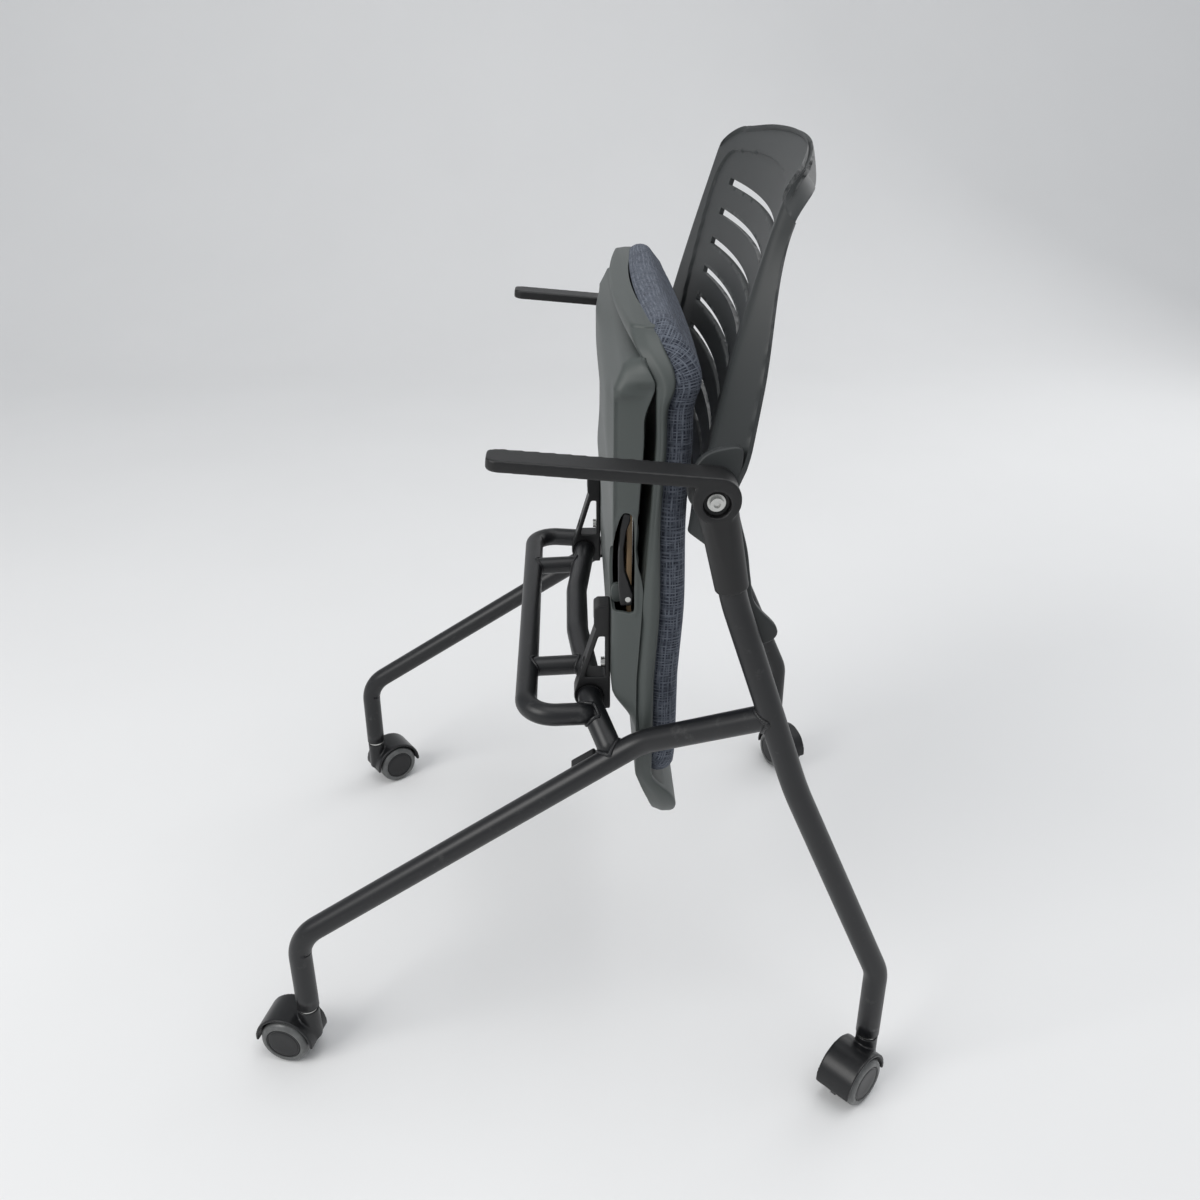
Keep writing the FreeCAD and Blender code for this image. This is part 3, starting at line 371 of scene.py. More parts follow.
def hand_over(name, vertices, faces, body, slot, material, nodes=(), loose=False):
    """Makes a mesh piece from millimetre points and faces, rides it and gives it its finish.

    A loose piece is only made and coloured, and is settled once its modifiers are applied.
    """
    mesh = bpy.data.meshes.new(name)
    mesh.from_pydata((vertices + np.array([MID_X, 0.0, 0.0])) * MM, [], faces)
    mesh.update()
    if not loose:
        outward(mesh)
    mesh.shade_smooth()
    piece = bpy.data.objects.new(name, mesh)
    bpy.context.scene.collection.objects.link(piece)
    mesh.materials.append(material)
    if not loose:
        settle(piece, body, nodes)
    return piece


def settle(piece, body, nodes):
    """Says what a piece rides on and stands for."""
    if nodes:
        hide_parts(*nodes)
    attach(piece, body)


def grid_faces(rows, columns, wrap_rows=False, wrap_columns=False, first=0, flip=False):
    """Quads between neighbouring points of a rows by columns grid, as an array of four indices."""
    down = np.arange(rows if wrap_rows else rows - 1)
    over = np.arange(columns if wrap_columns else columns - 1)
    row, column = np.meshgrid(down, over, indexing="ij")
    next_row, next_column = (row + 1) % rows, (column + 1) % columns
    corners = [
        row * columns + column,
        row * columns + next_column,
        next_row * columns + next_column,
        next_row * columns + column,
    ]
    quads = np.stack(corners, axis=-1).reshape(-1, 4) + first
    return quads[:, ::-1] if flip else quads


def fan(centre, ring, flip=False):
    """Triangles from a centre point to a closed ring of indices."""
    after = np.roll(ring, -1)
    triangles = np.stack([np.full(len(ring), centre), ring, after], axis=-1)
    return triangles[:, ::-1] if flip else triangles


def closed_rings(points, flip=False):
    """Vertices and faces of a closed skin from rings (rows) of points, with a pole at each end.

    The first and last rows are each drawn together to their mean point.
    """
    rows, columns = points.shape[:2]
    body = points[1:-1].reshape(-1, 3)
    poles = np.stack([points[0].mean(axis=0), points[-1].mean(axis=0)])
    vertices = np.concatenate([body, poles])
    quads = grid_faces(rows - 2, columns, wrap_columns=True, flip=flip)
    first_ring = np.arange(columns)
    last_ring = first_ring + (rows - 3) * columns
    count = len(body)
    low = fan(count, first_ring, flip=not flip)
    high = fan(count + 1, last_ring, flip=flip)
    return vertices, quads.tolist() + low.tolist() + high.tolist()


def rounded_path(points, radii, step=4.0):
    """Points along straight runs joined by tangent arcs, as one array. Corner radii follow the points.

    An arc of radius r at a corner starts r / tan(half the corner angle) before it, and its points
    turn evenly about the centre.
    """
    points = [np.array(point, float) for point in points]
    run = [points[0][None]]
    for before, corner, after, radius in zip(points, points[1:], points[2:], radii):
        inward = (before - corner) / np.linalg.norm(before - corner)
        outward = (after - corner) / np.linalg.norm(after - corner)
        half = math.acos(np.clip(inward @ outward, -1, 1)) / 2
        centre_way = (inward + outward) / np.linalg.norm(inward + outward)
        centre = corner + centre_way * radius / math.sin(half)
        first = corner + inward * radius / math.tan(half)
        turn = math.pi - 2 * half
        count = max(3, int(turn * radius / step) + 2)
        arm = (first - centre) / radius
        along = -inward
        angles = np.linspace(0, turn, count)[:, None]
        run.append(centre + radius * (np.cos(angles) * arm + np.sin(angles) * along))
    run.append(points[-1][None])
    return np.concatenate(run)


def divided(path, step):
    """The same path with points no further apart than a step, by even shares of each run."""
    lengths = np.linalg.norm(np.diff(path, axis=0), axis=1)
    distance = np.concatenate([[0], np.cumsum(lengths)])
    extra = np.arange(0, distance[-1], step)
    marks = np.union1d(np.round(distance, 4), np.round(extra, 4))
    marks = marks[np.concatenate([[True], np.diff(marks) > 0.2])]
    return np.stack([np.interp(marks, distance, path[:, axis]) for axis in range(3)], axis=1)


def swept(path, radii, side, sides=48):
    """Vertices and faces of a closed round bar of varying radius along a path.

    Around each point the ring is radius x (cos t x side' + sin t x (way x side')), where side' is
    the side vector made square to the path.
    """
    way = np.gradient(path, axis=0)
    way /= np.linalg.norm(way, axis=1)[:, None]
    side = np.array(side, float)
    across = side - (way @ side)[:, None] * way
    across /= np.linalg.norm(across, axis=1)[:, None]
    up = np.cross(way, across)
    radii = np.broadcast_to(radii, len(path))
    turn = np.linspace(0, 2 * math.pi, sides, endpoint=False)
    ring = np.cos(turn)[None, :, None] * across[:, None] + np.sin(turn)[None, :, None] * up[:, None]
    points = path[:, None] + ring * radii[:, None, None]
    points = np.concatenate([points[:1], points, points[-1:]])
    points[0] = path[0]
    points[-1] = path[-1]
    return closed_rings(points, flip=True)


def joined(parts):
    """One list of vertices and faces from several."""
    vertices, faces, count = [], [], 0
    for points, quads in parts:
        vertices.append(points)
        faces += [[index + count for index in face] for face in quads]
        count += len(points)
    return np.concatenate(vertices), faces


def mirrored(part):
    """The same part on the other side of the chair."""
    points, faces = part
    return points * np.array([-1.0, 1.0, 1.0]), [list(face)[::-1] for face in faces]


SIDES = (("left", lambda part: part), ("right", mirrored))


def lathe(profile, axis_point, axis, sides=72):
    """A closed body of revolution. Profile points are (radius, distance along the axis).

    Each profile point turns in a circle of its radius about the axis line. The profile starts and
    ends on the axis.
    """
    axis = np.array(axis, float) / np.linalg.norm(axis)
    helper = np.array([0.0, 0.0, 1.0]) if abs(axis[2]) < 0.9 else np.array([1.0, 0.0, 0.0])
    across = np.cross(axis, helper)
    across /= np.linalg.norm(across)
    up = np.cross(axis, across)
    profile = np.array(profile, float)
    turn = np.linspace(0, 2 * math.pi, sides, endpoint=False)
    ring = np.cos(turn)[None, :, None] * across + np.sin(turn)[None, :, None] * up
    points = np.array(axis_point, float) + profile[:, 1, None, None] * axis
    points = points + ring * profile[:, 0, None, None]
    return closed_rings(points, flip=True)


def prism(outline, x_from, x_to, edge, rounds=4):
    """A plate of constant outline across X with rounded rims.

    Rings of the outline are drawn in towards the inside near each face by edge x (1 - sin t) while
    they move across by edge x (1 - cos t). Each face is one flat polygon.
    """
    outline = np.array(outline, float)
    ahead, behind = np.roll(outline, -1, axis=0), np.roll(outline, 1, axis=0)
    tangent = ahead - behind
    tangent /= np.linalg.norm(tangent, axis=1)[:, None]
    inward = np.stack([-tangent[:, 1], tangent[:, 0]], axis=1)
    area = np.sum(outline[:, 0] * ahead[:, 1] - ahead[:, 0] * outline[:, 1])
    if area < 0:
        inward = -inward
    turn = np.linspace(0, math.pi / 2, rounds + 1)
    inset = edge * (1 - np.sin(turn))
    shift = edge * (1 - np.cos(turn))
    rows = [(x_from + a, b) for a, b in zip(shift, inset)]
    rows += [(x_to - a, b) for a, b in zip(shift[::-1], inset[::-1])]
    points = np.stack(
        [np.column_stack([np.full(len(outline), x), outline + inward * b]) for x, b in rows]
    )
    count = len(outline)
    faces = grid_faces(len(rows), count, wrap_columns=True).tolist()
    last = (len(rows) - 1) * count
    faces += [list(range(count)), list(range(last, last + count))]
    return points.reshape(-1, 3), faces


def with_modifier(piece, kind, **settings):
    """Adds a modifier with its settings."""
    made = piece.modifiers.new(kind.lower(), kind)
    for name, value in settings.items():
        setattr(made, name, value)
    return made


def applied(piece):
    """Replaces a piece's mesh with its evaluated one and drops its modifiers."""
    graph = bpy.context.evaluated_depsgraph_get()
    graph.update()
    mesh = bpy.data.meshes.new_from_object(piece.evaluated_get(graph))
    piece.modifiers.clear()
    piece.data = mesh
    return piece


def softened_copy(name, node, voxel, passes, body, material):
    """A CAD node's solid with its edges rounded as a mould would leave them.

    The merged copy is remeshed in small cells and each vertex is then drawn a little towards the
    mean of its neighbours, a few times.
    """
    mesh = NODES[node].data.copy()
    piece = bpy.data.objects.new(name, mesh)
    bpy.context.scene.collection.objects.link(piece)
    with_modifier(piece, "WELD", merge_threshold=0.00002)
    with_modifier(piece, "REMESH", mode="VOXEL", voxel_size=voxel, use_smooth_shade=True)
    with_modifier(piece, "SMOOTH", factor=0.5, iterations=passes)
    applied(piece)
    piece.data.materials.clear()
    piece.data.materials.append(material)
    piece.data.shade_smooth()
    settle(piece, body, [node])
    return piece


# Sizes and colours


class ChairSizes(bpy.types.PropertyGroup):
    """Sizes that a user would change."""

    tube_diameter: FloatProperty(
        name="Tube diameter", description="Outside diameter of the frame tubes", default=0.0222, unit="LENGTH"
    )
    loop_diameter: FloatProperty(
        name="Loop diameter", description="Outside diameter of the seat support loop", default=0.0206,
        unit="LENGTH",
    )
    back_wall: FloatProperty(
        name="Back wall", description="Wall thickness of the backrest", default=0.0045, unit="LENGTH"
    )
    slot_height: FloatProperty(
        name="Slot height", description="Height of the backrest's slots", default=0.0062, unit="LENGTH"
    )
    cushion_crown: FloatProperty(
        name="Cushion crown", description="Rise of the cushion's middle over its sides", default=0.008,
        unit="LENGTH",
    )
    wheel_diameter: FloatProperty(
        name="Wheel diameter", description="Diameter of the caster wheels", default=0.050, unit="LENGTH"
    )


def colour_property(name, description, default):
    """A colour that a user may change."""
    return FloatVectorProperty(
        name=name, description=description, default=default, size=3, min=0.0, max=1.0, subtype="COLOR"
    )


class ChairColours(bpy.types.PropertyGroup):
    """Colours that a user would change."""

    frame: colour_property("Frame", "Powder coat of the tubes", (0.0068, 0.0072, 0.0085))
    arm: colour_property("Arms", "Moulded arms", (0.0070, 0.0070, 0.0074))
    back: colour_property("Back", "Moulded backrest", (0.0260, 0.0290, 0.0295))
    pan: colour_property("Seat pan", "Seat pan and under shell", (0.0590, 0.0680, 0.0650))
    nylon: colour_property("Nylon", "Brackets, lever and bumpers", (0.0070, 0.0070, 0.0076))
    caster: colour_property("Casters", "Caster hoods and hubs", (0.0066, 0.0069, 0.0078))
    tread: colour_property("Tread", "Soft wheel treads", (0.0950, 0.0980, 0.0970))
    yarn_light: colour_property("Light yarn", "Pale yarns of the cushion", (0.2100, 0.2350, 0.2800))
    yarn_dark: colour_property("Dark yarn", "Dark yarns of the cushion", (0.0050, 0.0060, 0.0110))
    fabric: colour_property("Fabric ground", "Ground colour of the cushion", (0.0150, 0.0185, 0.0320))
    steel: colour_property("Bright steel", "Screws, washers and stems", (0.62, 0.62, 0.60))
    wood: colour_property("Plywood", "Seat board", (0.42, 0.29, 0.17))
    floor: colour_property("Floor", "Floor and backdrop", (0.80, 0.80, 0.80))


MATERIALS = {}


class CHAIR_OT_finishes(bpy.types.Operator):
    """Make every finish of the chair and give the CAD pieces theirs"""

    bl_idname = "chair.finishes"
    bl_label = "Finishes"

    def execute(self, context):
        colours = context.scene.chair_colours
        MATERIALS.update(
            frame_black=painted_steel("frame_black", colours.frame),
            arm_black=moulded_plastic("arm_black", colours.arm, 0.46, 1300.0, 0.00014),
            back_grey=moulded_plastic("back_grey", colours.back, 0.50, 1800.0, 0.00008),
            pan_grey=moulded_plastic("pan_grey", colours.pan, 0.48, 1800.0, 0.00008),
            cushion_fabric=woven_fabric(
                "cushion_fabric", colours.yarn_light, colours.yarn_dark, colours.fabric
            ),
            black_nylon=moulded_plastic("black_nylon", colours.nylon, 0.42, 1600.0, 0.00010),
            caster_black=moulded_plastic("caster_black", colours.caster, 0.34, 1400.0, 0.00008, 0.6),
            tread_grey=wheel_rubber("tread_grey", colours.tread),
            bright_steel=plated_steel("bright_steel", colours.steel, 0.20),
            plate_steel=plated_steel("plate_steel", colours.steel, 0.12),
            plywood=plywood("plywood", colours.wood),
        )
        slots = {part["node"]: part["material_slot"] for part in frame["record"]["subparts"]}
        for name, node in NODES.items():
            material = MATERIALS[slots[name]]
            if not node.material_slots:
                node.data.materials.append(material)
            for place in node.material_slots:
                place.material = material
        return {"FINISHED"}


# Frame tubes

REAR_FOOT = (REAR_X, 283.0, FOOT_Z)
REAR_BEND = (REAR_X, 283.0, 142.0)
REAR_KNEE = (REAR_X, 189.85, 354.48)
REAR_SEAM = (REAR_X, 127.70, 536.94)
REAR_TOP = (REAR_X, 114.34, 600.55)
FRONT_FOOT = (FRONT_X, -268.0, FOOT_Z)
FRONT_BEND = (FRONT_X, -268.0, 152.0)
FRONT_KNEE = (226.0, 59.5, 366.5)
WELD = (REAR_X, 164.47, 429.0)
CROSS_END = (226.63, 36.58, 351.49)
CROSS_OUT = (185.0, PIVOT_Y, PIVOT_Z)
CROSS_IN = (141.0, PIVOT_Y, PIVOT_Z)
CROSS_BOW = (45.0, 6.0, PIVOT_Z)
LOOP_CORNER = (202.0, -43.0, 380.5)
LOOP_END = (196.0, 18.0, 378.5)
STRUT_X = 114.0
STRUT_RADIUS = 9.5


def both_ways(points):
    """Half a path followed by its mirror image in reverse."""
    return list(points) + [(-x, y, z) for x, y, z in reversed(points)]


def bar(points, corner_radii, radius, side):
    """A round bent bar."""
    return swept(divided(rounded_path(points, corner_radii, 3.0), 12.0), radius, side)


def bead(start, toward, radius, other, other_way, other_radius, width=1.9):
    """A weld bead where one round bar runs into another.

    Each line along the first bar's surface meets the other bar where its distance from the other
    axis equals that bar's radius, which is the nearer root of a quadratic. A rippled round bar is
    carried along that closed curve.
    """
    start, other = np.array(start, float), np.array(other, float)
    way = np.array(toward, float) - start
    way /= np.linalg.norm(way)
    axis = np.array(other_way, float) - other
    axis /= np.linalg.norm(axis)
    across = np.cross(way, axis)
    across /= np.linalg.norm(across)
    up = np.cross(way, across)
    turn = np.linspace(0, 2 * math.pi, 160, endpoint=False)
    lines = start + radius * (np.cos(turn)[:, None] * across + np.sin(turn)[:, None] * up)
    offset = lines - other
    offset = offset - (offset @ axis)[:, None] * axis
    slope = way - (way @ axis) * axis
    a = slope @ slope
    b = 2 * offset @ slope
    c = np.sum(offset**2, axis=1) - other_radius**2
    root = (-b - np.sqrt(np.maximum(b**2 - 4 * a * c, 0))) / (2 * a)
    path = lines + root[:, None] * way
    heading = np.roll(path, -1, axis=0) - np.roll(path, 1, axis=0)
    heading /= np.linalg.norm(heading, axis=1)[:, None]
    outward = path - (start + root[:, None] * way)
    outward /= np.linalg.norm(outward, axis=1)[:, None]
    over = np.cross(heading, outward)
    ripple = width * (1 + 0.16 * np.abs(np.sin(turn * 22)) + 0.10 * np.sin(turn * 5 + 1))
    around = np.linspace(0, 2 * math.pi, 12, endpoint=False)
    ring = np.cos(around)[None, :, None] * outward[:, None] + np.sin(around)[None, :, None] * over[:, None]
    points = path[:, None] + ring * ripple[:, None, None]
    faces = grid_faces(160, 12, wrap_rows=True, wrap_columns=True)
    return points.reshape(-1, 3), faces.tolist()


class CHAIR_OT_frame(bpy.types.Operator):
    """Build the bent legs, cross tube, support loop, struts and their weld beads"""

    bl_idname = "chair.frame"
    bl_label = "Frame tubes"

    def execute(self, context):
        sizes = context.scene.chair_sizes
        radius = sizes.tube_diameter / MM / 2
        loop_radius = sizes.loop_diameter / MM / 2
        coat = MATERIALS["frame_black"]
        rear = bar([REAR_FOOT, REAR_BEND, REAR_KNEE, REAR_SEAM, REAR_TOP], [42, 400, 200], radius, (1, 0, 0))
        front = bar([FRONT_FOOT, FRONT_BEND, FRONT_KNEE, WELD], [42, 60], radius, (1, 0, 0))
        leg_bead = bead(FRONT_KNEE, WELD, radius, REAR_KNEE, REAR_SEAM, radius)
        front = joined([front, leg_bead])
        for side, build in SIDES:
            for leg, part in (("rear_leg", rear), ("front_leg", front)):
                node = f"{leg}_{side}"
                hand_over(f"{leg}_tube_{side}", *build(part), "frame", "frame_black", coat, [node])

        half = [CROSS_END, CROSS_OUT, CROSS_IN, CROSS_BOW]
        cross = bar(both_ways(half), [24, 120, 120, 120, 120, 24], radius, (0, 0, 1))
        end_bead = bead(CROSS_OUT, CROSS_END, radius, FRONT_BEND, FRONT_KNEE, radius)
        cross = joined([cross, end_bead, mirrored(end_bead)])
        hand_over("cross_tube_bar", *cross, "frame", "frame_black", coat, ["cross_tube"])

        loop = bar(both_ways([LOOP_END, LOOP_CORNER]), [26, 26], loop_radius, (0, 0, 1))
        loop_bead = bead(LOOP_CORNER, LOOP_END, loop_radius, CROSS_OUT, CROSS_END, radius, 1.6)
        loop = joined([loop, loop_bead, mirrored(loop_bead)])
        hand_over("support_loop_bar", *loop, "frame", "frame_black", coat, ["seat_support_loop"])

        strut_start, strut_end = (STRUT_X, LOOP_CORNER[1], LOOP_CORNER[2]), (STRUT_X, 14.0, PIVOT_Z)
        strut = swept(divided(np.array([strut_start, strut_end]), 10.0), STRUT_RADIUS, (0, 0, 1))
        loop_middle = (0, *LOOP_CORNER[1:])
        front_bead = bead(strut_end, strut_start, STRUT_RADIUS, loop_middle, LOOP_CORNER, loop_radius, 1.4)
        rear_bead = bead(strut_start, strut_end, STRUT_RADIUS, CROSS_IN, CROSS_BOW, radius, 1.4)
        strut = joined([strut, front_bead, rear_bead])
        struts = joined([strut, mirrored(strut)])
        hand_over("loop_strut_bars", *struts, "frame", "frame_black", coat, ["loop_struts"])
        return {"FINISHED"}


# Backrest

BACK_RISE, BACK_DROP, BACK_HOLLOW, BACK_HALF = 228.3, 52.0, 21.0, 200.0
TOP_RADIUS, TOP_CROWN = 58.0, 8.0
SLOT_TOP, SLOT_PITCH, SLOT_COUNT = 795.0, 28.3, 8
SLOT_SHARE, SLOT_CELLS = 0.668, 33
ROW_STEP = 4.0
RIDGE = 7.0
PANEL_STEP = 2.1


def back_lean(rise):
    """How far the middle of the panel lies behind the arm screw: straight, then curved, then rolled back."""
    curve = 0.00028 * np.maximum(rise - 20, 0) ** 2
    return 18 + 0.225 * rise + curve + 0.0167 * np.maximum(rise - 195, 0) ** 2


def slot_end(z):
    """Half the length of a slot at this height."""
    return 126 + 8 * smooth((z - 640) / 120)


def panel_distance(x, z):
    """Signed distance to the recessed panel's outline, negative inside."""
    half = 178 - 0.065 * np.clip(770 - z, 0, 130)
    top = 831 - 5 * (x / 121) ** 2
    radius = 30
    dx = np.abs(x) - (half - radius)
    dz = z - (top - radius)
    outside = np.hypot(np.maximum(dx, 0), np.maximum(dz, 0))
    return outside + np.minimum(np.maximum(dx, dz), 0) - radius


def back_grid(slot_height):
    """Points of the back's front skin, its open cells and the strip that turns back along its top.

    A column is a share of the way from the left flange's rear edge, round the left ridge, across
    the hollow panel and round the right ridge to the right flange. A row is a height that bends
    up to the crowned, round-cornered top near the upper edge.
    """
    half_slot = slot_height / 2
    slot_z = SLOT_TOP + 4.5 - half_slot - SLOT_PITCH * np.arange(SLOT_COUNT)
    marks = np.concatenate([slot_z - half_slot, slot_z + half_slot])
    low, high = JOINT_Z - BACK_DROP, JOINT_Z + 178.0
    levels = np.sort(np.concatenate([marks, [low, high]]))
    rows = []
    for below, above in zip(levels, levels[1:]):
        steps = max(2, int(math.ceil((above - below) / ROW_STEP)) + 1)
        rows.append(np.linspace(below, above, steps)[:-1])
    rows = np.concatenate(rows + [[high]])
    upper = np.linspace(0, 1, 30)[1:]
    share = np.concatenate([np.zeros(len(rows)), upper])
    base = np.concatenate([rows, np.full(len(upper), high)])

    beside = SLOT_SHARE + (1 - SLOT_SHARE) * np.linspace(0, 1, 28)[1:]
    span = np.concatenate([np.linspace(0, SLOT_SHARE, SLOT_CELLS + 1), beside])
    ridge_turn = np.linspace(0, 1, 7)[1:]
    flange_run = np.linspace(0, 1, 8)[1:]
    half_columns = len(span) + len(ridge_turn) + len(flange_run)

    def shape_at(z):
        """Half width, flange edge, flange length, panel middle and inner edge at heights z."""
        rise = np.clip(z - JOINT_Z, -BACK_DROP, BACK_RISE + 5)
        spread = np.clip((175 - rise) / 175, 0, 1) ** 1.6
        half = BACK_HALF + (232 - BACK_HALF) * spread
        end_x = half + 6 + (EAR_X - half - 6) * np.minimum(spread * 1.15, 1)
        flange = 13.5 + 9 * smooth((175 - rise) / 110)
        flange = flange - 6 * smooth((30 - rise) / 50)
        middle = JOINT_Y + back_lean(rise)
        return half, end_x, flange, middle, half - 0.75 * RIDGE

    cuts = np.cumsum([len(span), len(ridge_turn)])

    def side_points(base_z, share_up):
        """Right half of the front skin for arrays of base heights and shares of the way up."""
        z = base_z + np.zeros(half_columns)
        for _ in range(3):
            half, _, _, middle, inner = (part[:, :cuts[0]] for part in shape_at(z))
            edge_share = slot_end(z[:, :cuts[0]]) / inner
            across = np.where(
                span[None] <= SLOT_SHARE, span[None] / SLOT_SHARE * edge_share,
                edge_share + (span[None] - SLOT_SHARE) / (1 - SLOT_SHARE) * (1 - edge_share),
            )
            x_panel = across * inner
            y_panel = middle - BACK_HOLLOW * (x_panel / half) ** 2
            parts = []
            stretches = ((cuts[0], cuts[1], ridge_turn), (cuts[1], half_columns, flange_run))
            for first, end, share_along in stretches:
                half, end_x, flange, middle, inner = (part[:, first:end] for part in shape_at(z))
                ridge_y = middle - BACK_HOLLOW
                start = np.stack([inner, middle - BACK_HOLLOW * (inner / half) ** 2], -1)
                corner = np.stack([half, ridge_y], -1)
                way = np.stack([end_x - half, flange], -1)
                stop = corner + way / np.linalg.norm(way, axis=-1, keepdims=True) * RIDGE
                last = np.stack([end_x, ridge_y + flange], -1)
                t = share_along[None, :, None]
                turned = (1 - t) ** 2 * start + 2 * t * (1 - t) * corner + t**2 * stop
                parts.append(turned if first == cuts[0] else stop + (last - stop) * t)
            x = np.concatenate([x_panel, parts[0][..., 0], parts[1][..., 0]], axis=1)
            y = np.concatenate([y_panel, parts[0][..., 1], parts[1][..., 1]], axis=1)
            corner_z = JOINT_Z + BACK_RISE - TOP_CROWN - TOP_RADIUS
            reach = np.clip(x - (BACK_HALF + 10 - TOP_RADIUS), 0, TOP_RADIUS * 0.995)
            top = corner_z + np.sqrt(TOP_RADIUS**2 - reach**2)
            top = top + TOP_CROWN * (1 - (np.minimum(x, 152) / 152) ** 2)
            z = base_z + share_up * (top - base_z)
        return np.stack([x, y, z], axis=-1)

    right = side_points(base[:, None], share[:, None])
    left = right[:, :0:-1] * np.array([-1.0, 1.0, 1.0])
    points = np.concatenate([left, right], axis=1)
    columns = points.shape[1]
    middle_column = half_columns - 1
    row_middle = (points[:-1, middle_column, 2] + points[1:, middle_column, 2]) / 2
    open_row = np.min(np.abs(row_middle[:, None] - slot_z[None]), axis=1) < half_slot
    cell = np.abs(np.arange(columns - 1) + 0.5 - middle_column)
    open_cell = open_row[:, None] & (cell < SLOT_CELLS)[None]
    top = right[-1]
    turned_back = top[cuts[0] - 1:] - top[cuts[0] - 1]
    edge = top[:cuts[0]]
    corner_start = BACK_HALF + 10 - TOP_RADIUS
    sideways = np.clip((edge[:, 0] - corner_start) / (edge[-1, 0] - corner_start), 0, 1)
    way_out = np.clip((edge[:, 0] - 80) / (edge[-1, 0] - 80), 0, 1)
    depth = 0.12 + 0.88 * smooth(way_out * 1.6)
    strip = edge[:, None] + turned_back[None] * np.stack([sideways, depth, depth], axis=1)[:, None]
    return points, open_cell, strip


class CHAIR_OT_back(bpy.types.Operator):
    """Build the slotted backrest with its recessed panel, ridges, ears and tails"""

    bl_idname = "chair.back"
    bl_label = "Backrest"

    def execute(self, context):
        sizes = context.scene.chair_sizes
        wall = sizes.back_wall / MM
        grey = MATERIALS["back_grey"]
        points, open_cell, strip = back_grid(sizes.slot_height / MM)
        distance = panel_distance(points[..., 0], points[..., 2])
        near = np.abs(distance) < 1.3
        step = 0.5
        gx = (panel_distance(points[..., 0] + step, points[..., 2]) - distance) / step
        gz = (panel_distance(points[..., 0], points[..., 2] + step) - distance) / step
        inside = distance < 0
        target = np.where(inside, -0.55, 0.55)
        shift = np.where(near, target - distance, 0.0)
        points[..., 0] += shift * gx
        points[..., 2] += shift * gz
        points[..., 1] += PANEL_STEP * inside
        rows, columns = points.shape[:2]
        quads = grid_faces(rows, columns)[~open_cell.reshape(-1)]
        strips = [
            (side.reshape(-1, 3), grid_faces(*side.shape[:2])) for side in (strip, strip * [-1.0, 1.0, 1.0])
        ]
        skin = joined([(points.reshape(-1, 3), quads)] + strips)
        piece = hand_over("backrest", *skin, None, None, grey, loose=True)
        seamed(piece.data, Vector((0, -1, 0)))
        with_modifier(piece, "SOLIDIFY", thickness=wall * MM, offset=-1.0, use_even_offset=False)
        with_modifier(
            piece, "BEVEL", width=0.0011, segments=3, limit_method="ANGLE", angle_limit=math.radians(50)
        )
        applied(piece)
        settle(piece, "frame", ["back_shell"])
        for side, build in SIDES:
            hand_over(f"back_ear_{side}", *build(back_ear()), "frame", "back_grey", grey)
        return {"FINISHED"}


def spline_outline(points, step=3.0):
    """A closed smooth outline through points: a Catmull-Rom curve, then even spacing."""
    points = np.array(points, float)
    before, after, later = np.roll(points, 1, 0), np.roll(points, -1, 0), np.roll(points, -2, 0)
    t = np.linspace(0, 1, 12, endpoint=False)[None, :, None]
    p0, p1, p2, p3 = (p[:, None] for p in (before, points, after, later))
    curve = 0.5 * (2 * p1 + (p2 - p0) * t + (2 * p0 - 5 * p1 + 4 * p2 - p3) * t**2)
    curve = curve + 0.5 * (3 * p1 - p0 - 3 * p2 + p3) * t**3
    curve = curve.reshape(-1, 2)
    closed = np.concatenate([curve, curve[:1]])
    length = np.concatenate([[0], np.cumsum(np.linalg.norm(np.diff(closed, axis=0), axis=1))])
    marks = np.linspace(0, length[-1], int(length[-1] / step) + 1)[:-1]
    return np.stack([np.interp(marks, length, closed[:, axis]) for axis in range(2)], axis=1)


def back_ear():
    """The ear round the arm screw and the tail that runs down behind the leg, as (Y, Z) outlines."""
    seam_y, seam_z = 126.3, 543.9
    end_y, end_z = 144.0, 491.8
    outline = [
        (JOINT_Y - 18, JOINT_Z + 8), (JOINT_Y - 8, JOINT_Z + 25), (JOINT_Y + 8, JOINT_Z + 31),
        (JOINT_Y + 21, JOINT_Z + 30), (JOINT_Y + 21, JOINT_Z + 10), (JOINT_Y + 20, JOINT_Z - 15),
        (seam_y + 12, seam_z + 30), (seam_y + 16, seam_z + 5), (seam_y + 21, seam_z - 18),
        (end_y + 22, end_z + 12), (end_y + 20, end_z + 1), (end_y + 8, end_z - 3),
        (end_y + 1, end_z + 8), (seam_y + 2, seam_z - 5), (seam_y - 8, seam_z + 30),
        (JOINT_Y - 10, JOINT_Z - 22), (JOINT_Y - 19, JOINT_Z - 8),
    ]
    return prism(spline_outline(outline), EAR_X - 8, EAR_X - 0.2, 1.6)


# Arms


class CHAIR_OT_arms(bpy.types.Operator):
    """Round off the moulded arms and their sockets"""

    bl_idname = "chair.arms"
    bl_label = "Arms"

    def execute(self, context):
        for side in ("left", "right"):
            softened_copy(
                f"arm_moulding_{side}", f"arm_{side}", 0.0011, 5, "frame", MATERIALS["arm_black"]
            )
        return {"FINISHED"}


# Seat


def rim_front(s):
    """n of the lower edge of the pan rim at its side: nearly straight, with a waterfall front."""
    rise = 0.060 * np.maximum(np.minimum(s, SEAT_FRONT - 50) - 40, 0)
    return 41 + rise - 3 * smooth((s - SEAT_FRONT + 100) / 50) - 18 * smooth((s - SEAT_FRONT + 52) / 43)


def rim_rear(s):
    """n of the upper edge of the pan rim, where the cushion begins."""
    narrow = 7 * smooth((s - 90) / 120) * (1 - smooth((s - SEAT_FRONT + 65) / 40))
    return rim_front(s) + 15 - narrow + 6 * smooth((s - SEAT_FRONT + 75) / 50)


